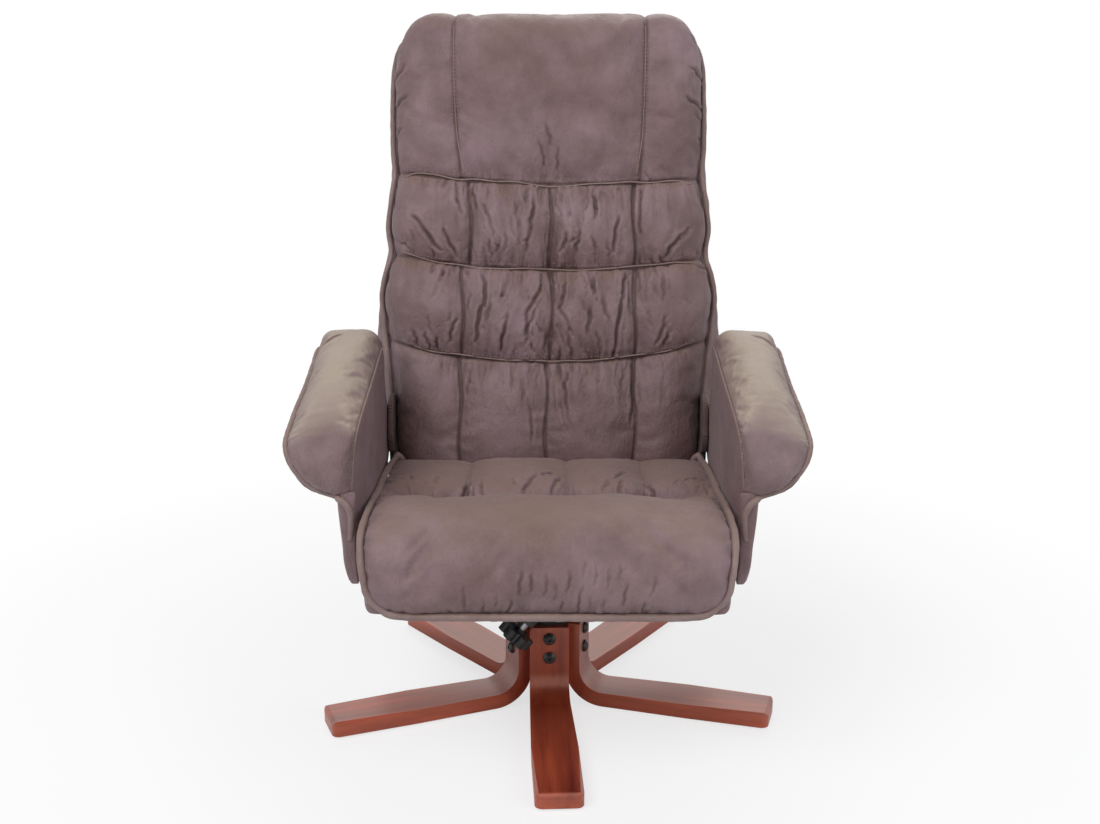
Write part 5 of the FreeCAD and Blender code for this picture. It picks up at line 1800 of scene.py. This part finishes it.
        def wrinkles(at: Surface) -> np.ndarray:
            """Faint pulls from the seam."""
            down = (1 - at.across) * self.inner_height
            return 0.8 * np.exp(-down / 20) * lattice_noise(at.y / 9, down / 40, self.seed(76))

        emboss(piece, panel, wrinkles)
        return piece

    def outer_cover(self) -> bpy.types.Object:
        """Builds the padded outer side, closed round the board's front edge.

        Returns:
            The cover, drawn on the left.
        """
        ys = (-210, -206, -194, -168, -120, -60, 0, 60, 108, 125)
        out = (298, 301, 304, 308, 311, 313, 314, 314, 312, 310)
        low_x = (292, 294, 296, 299, 301, 302, 302, 302, 301, 300)
        upper = [(x - 2, y, self.floor(y) + 3) for x, y in zip(out, ys)]
        lower = [(x - 3, y, 281 - (y - self.front) / self.depth * 44) for x, y in zip(low_x, ys)]
        middle = [
            (x + 2, y - 3 * (y < -195), low[2] * 0.42 + high[2] * 0.58)
            for x, y, low, high in zip(out, ys, lower, upper)
        ]
        panel = Panel(upper, middle, lower, columns=30, rows=54, left_turn=0.04, right_turn=0.16)

        def relief(at: Surface) -> np.ndarray:
            """Slight unevenness."""
            return lattice_noise(at.y / 55, at.z / 55, self.seed(77)) * at.clear_of_sides(0.1)

        def ring(x: float, share: float) -> RingStep:
            """One ring towards the board's inner side."""
            return lambda p: np.stack([x + (p[:, 0] - x) * share, p[:, 1], p[:, 2]], axis=1)

        rim = [ring(280, 0.7), ring(280, 0.2), ring(279.5, 0.0)]
        piece = settle(panel_mesh(panel, relief, rim), f"arm_outer_cover_{self.word}", self.cover)
        refine(piece)
        emboss(piece, panel, lambda at: 0.5 * lattice_noise(at.y / 20, at.z / 20, self.seed(78)))
        return piece

    def welt_line(self) -> np.ndarray:
        """The piping's path: along the wing's outer edge, under its front and down the arm's front.

        Returns:
            The points of the path, in millimetres.
        """
        edge = [(x + 2, y - (y < -195), z - 1) for x, y, z in self.outer]
        hook = [(305, -213, 417), (294, -215, 409), (287, -215, 394), (287, -213, 372), (290, -210, 352)]
        return smooth_path([(345, 119, 548), (362, 123, 555)] + edge[::-1][1:] + hook, 4)

    def inner_welt_line(self) -> np.ndarray:
        """The flat seam between the wing and the inner cover."""
        return smooth_path([(x - 0.5, y, z) for x, y, z in self.inner], 4)

    def stitch_lines(self) -> list[np.ndarray]:
        """Top stitching along the wing's inner seam.

        Returns:
            Lines of points, in millimetres.
        """
        panel = self.wing_panel()
        along = np.linspace(0.04, 0.98, 90)
        return [panel.points(np.full_like(along, share), along) for share in (0.05, 0.085)]

    def build(self) -> list[bpy.types.Object]:
        """Makes every piece of the arm.

        Returns:
            The covers, the piping and the stitching, at rest on the carriage.
        """
        wing, inner, outer = self.wing(), self.inner_cover(), self.outer_cover()
        welt = settle(tube(self.welt_line(), self.piping, pucker=0.06), f"arm_piping_{self.word}", self.welt)
        ridge = tube(self.inner_welt_line(), self.seam_radius, sides=8)
        seam = settle(ridge, f"arm_seam_{self.word}", self.welt)
        stitches = Thread().sew(self.stitch_lines(), wing, f"arm_stitching_{self.word}", self.thread)
        pieces = [wing, inner, outer, welt, seam, stitches]
        if self.side is Side.RIGHT:
            for piece in pieces:
                piece.data.transform(Matrix.Scale(-1, 4, (1, 0, 0)))
                piece.data.flip_normals()
        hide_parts(f"arm_wing_{self.word}")
        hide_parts(f"arm_inner_pad_{self.word}")
        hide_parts(f"arm_outer_pad_{self.word}")
        return pieces


@dataclass
class Frame:
    """The carried-over nodes: bentwood legs, and the steel, timber and webbing inside."""

    nodes: dict[str, bpy.types.Object]
    slots: dict[str, str]
    leg_turns: tuple[tuple[str, float], ...] = (
        ("leg_front", -87.2), ("leg_left_front", -15.2), ("leg_left_rear", 56.8),
        ("leg_right_rear", 128.8), ("leg_right_front", -159.2),
    )

    def dress(self) -> None:
        """Gives every node but the upholstery its finish."""
        made: dict[Slot, bpy.types.Material] = {}
        turns = dict(self.leg_turns)
        for name, node in self.nodes.items():
            slot = Slot(self.slots[name])
            if slot is Slot.UPHOLSTERY:
                continue
            if name in turns:
                finish = Lacquer(math.radians(turns[name])).material()
            else:
                if slot not in made:
                    made[slot] = FINISHES.get(slot, Lacquer(0.0)).material()
                finish = made[slot]
            node.data.materials.clear()
            node.data.materials.append(finish)
            LOG.info("dressed %s in %s", name, finish.name)


@dataclass
class Studio:
    """The camera of the photograph, soft lamps and a pale floor."""

    eye: Point = (0.0, -2.3146, 1.1767)
    pitch: float = 16.48
    roll: float = 0.11
    sensor: float = 36.0
    lens: float = 50.27
    shift: tuple[float, float] = (0.00183, -0.00363)
    world_strength: float = 0.33

    def camera(self) -> None:
        """Places the camera."""
        data = bpy.data.cameras.new("photo_camera")
        data.sensor_width = self.sensor
        data.lens = self.lens
        data.shift_x, data.shift_y = self.shift
        camera = bpy.data.objects.new("photo_camera", data)
        bpy.context.scene.collection.objects.link(camera)
        pitch = Matrix.Rotation(math.radians(90 - self.pitch), 4, "X")
        roll = Matrix.Rotation(math.radians(self.roll), 4, "Z")
        camera.matrix_world = Matrix.Translation(self.eye) @ (pitch @ roll)
        bpy.context.scene.camera = camera

    def lamp(self, name: str, place: Point, aim: Point, size: tuple[float, float], power: float) -> None:
        """Adds one soft rectangular lamp.

        Args:
            name: The lamp's name.
            place: Where it is.
            aim: What it points at.
            size: Its width and height.
            power: Its power, in watts.
        """
        data = bpy.data.lights.new(name, "AREA")
        data.shape = "RECTANGLE"
        data.size, data.size_y = size
        data.energy = power
        lamp = bpy.data.objects.new(name, data)
        bpy.context.scene.collection.objects.link(lamp)
        way = Vector(aim) - Vector(place)
        lamp.matrix_world = Matrix.Translation(place) @ way.to_track_quat("-Z", "Y").to_matrix().to_4x4()

    def world(self) -> None:
        """Lights everything evenly and shows white to the camera and in reflections."""
        world = bpy.data.worlds.new("studio")
        bpy.context.scene.world = world
        nodes = Nodes(world, "Background")
        nodes.join(nodes.shader, {"Color": (0.93, 0.95, 1.0, 1), "Strength": self.world_strength})
        white = nodes.add("Background", {"Color": WHITE, "Strength": 1.0}).outputs[0]
        path = nodes.add("LightPath").outputs
        seen = nodes.combine("MAXIMUM", path["Is Camera Ray"], path["Is Transmission Ray"])
        shiny = nodes.combine("MAXIMUM", seen, path["Is Glossy Ray"])
        mix = nodes.add("MixShader", {0: shiny, 1: nodes.shader.outputs[0], 2: white}).outputs[0]
        nodes.show(mix, "World Output")

    def floor(self) -> None:
        """Lays a pale floor that keeps the shadow."""
        bm = bmesh.new()
        bmesh.ops.create_grid(bm, x_segments=1, y_segments=1, size=6)
        nodes = Nodes(bpy.data.materials.new("pale_floor"))
        tone = nodes.noise(nodes.place(), 3.0, 3, 0.5)
        nodes.join(
            nodes.shader,
            {
                "Base Color": nodes.blend(tone, (0.93, 0.93, 0.93, 1), (0.96, 0.96, 0.96, 1)),
                "Roughness": nodes.spread(tone, 0, 1, 0.85, 0.95),
                "Specular IOR Level": 0.1,
            },
        )
        path = nodes.add("LightPath").outputs
        seen = nodes.combine("MAXIMUM", path["Is Camera Ray"], path["Is Transmission Ray"])
        white = nodes.add("Emission", {"Color": WHITE, "Strength": 1.0}).outputs[0]
        reach = nodes.add("VectorMath", {0: nodes.place()}, operation="LENGTH").outputs["Value"]
        plain = nodes.combine("MULTIPLY", seen, nodes.spread(reach, 0.5, 1.3, 0.7, 1.0))
        mix = nodes.add("MixShader", {0: plain, 1: nodes.shader.outputs[0], 2: white}).outputs[0]
        nodes.show(mix, "Material Output")
        piece = settle(bm, "studio_floor", nodes.owner, tidy=False)
        piece.data.transform(Matrix.Translation((0, 0, -0.0005)))

    def build(self) -> None:
        """Sets the whole studio."""
        self.camera()
        self.world()
        self.floor()
        self.lamp("key_lamp", (-1.6, -2.2, 3.0), (0, 0, 0.5), (2.4, 1.6), 77)
        self.lamp("fill_lamp", (2.2, -1.8, 2.0), (0, 0, 0.5), (2.0, 2.0), 26)
        self.lamp("back_lamp", (0.4, 2.4, 2.6), (0, 0, 0.7), (2.4, 1.2), 30)
        bpy.context.scene.view_settings.view_transform = "Standard"


# Putting it together


def hand_over(pieces: Sequence[bpy.types.Object], body: str) -> None:
    """Puts new pieces on their body.

    Args:
        pieces: The pieces.
        body: The body's name.
    """
    for piece in pieces:
        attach(piece, body)
        LOG.info("made %s on %s: %d faces", piece.name, body, len(piece.data.polygons))


def main() -> None:
    """Builds every sub-assembly in order, then the studio."""
    logging.basicConfig(level=logging.INFO, format="%(name)s: %(message)s")
    cover = Suede("suede_cloth").material()
    # The arm tops take a strong painted highlight on upward faces
    arm_tops = Suede(
        "suede_arm_tops",
        fibre_and_top_highlight=(175, 158, 142),
        top_highlight=0.92,
        top_highlight_from=(0.3, 0.9),
        top_highlight_nose=(-0.62, -0.26),
    ).material()
    # The welts store no fold depth but keep a painted highlight on upward faces
    welt = Suede(
        "suede_welts", (122, 100, 97), (92, 73, 69), (142, 122, 120), embossed=False, top_highlight=0.45
    ).material()
    thread = Plain(
        "sewing_thread", (160, 140, 130), (120, 102, 96), 0.0, (0.6, 0.75), (2500, 2500, 600), 1e-4
    ).material()
    slots = {part["node"]: part["material_slot"] for part in frame["record"]["subparts"]}
    Frame(frame["nodes"], slots).dress()
    hand_over(BackRest(cover, welt, thread).build(), "back")
    hand_over(SeatPad(cover, welt, thread).build(), "seat")
    for side in Side:
        hand_over(ArmRest(cover, arm_tops, welt, thread, side).build(), "carriage")
    Studio().build()


if __name__ == "__main__":
    main()
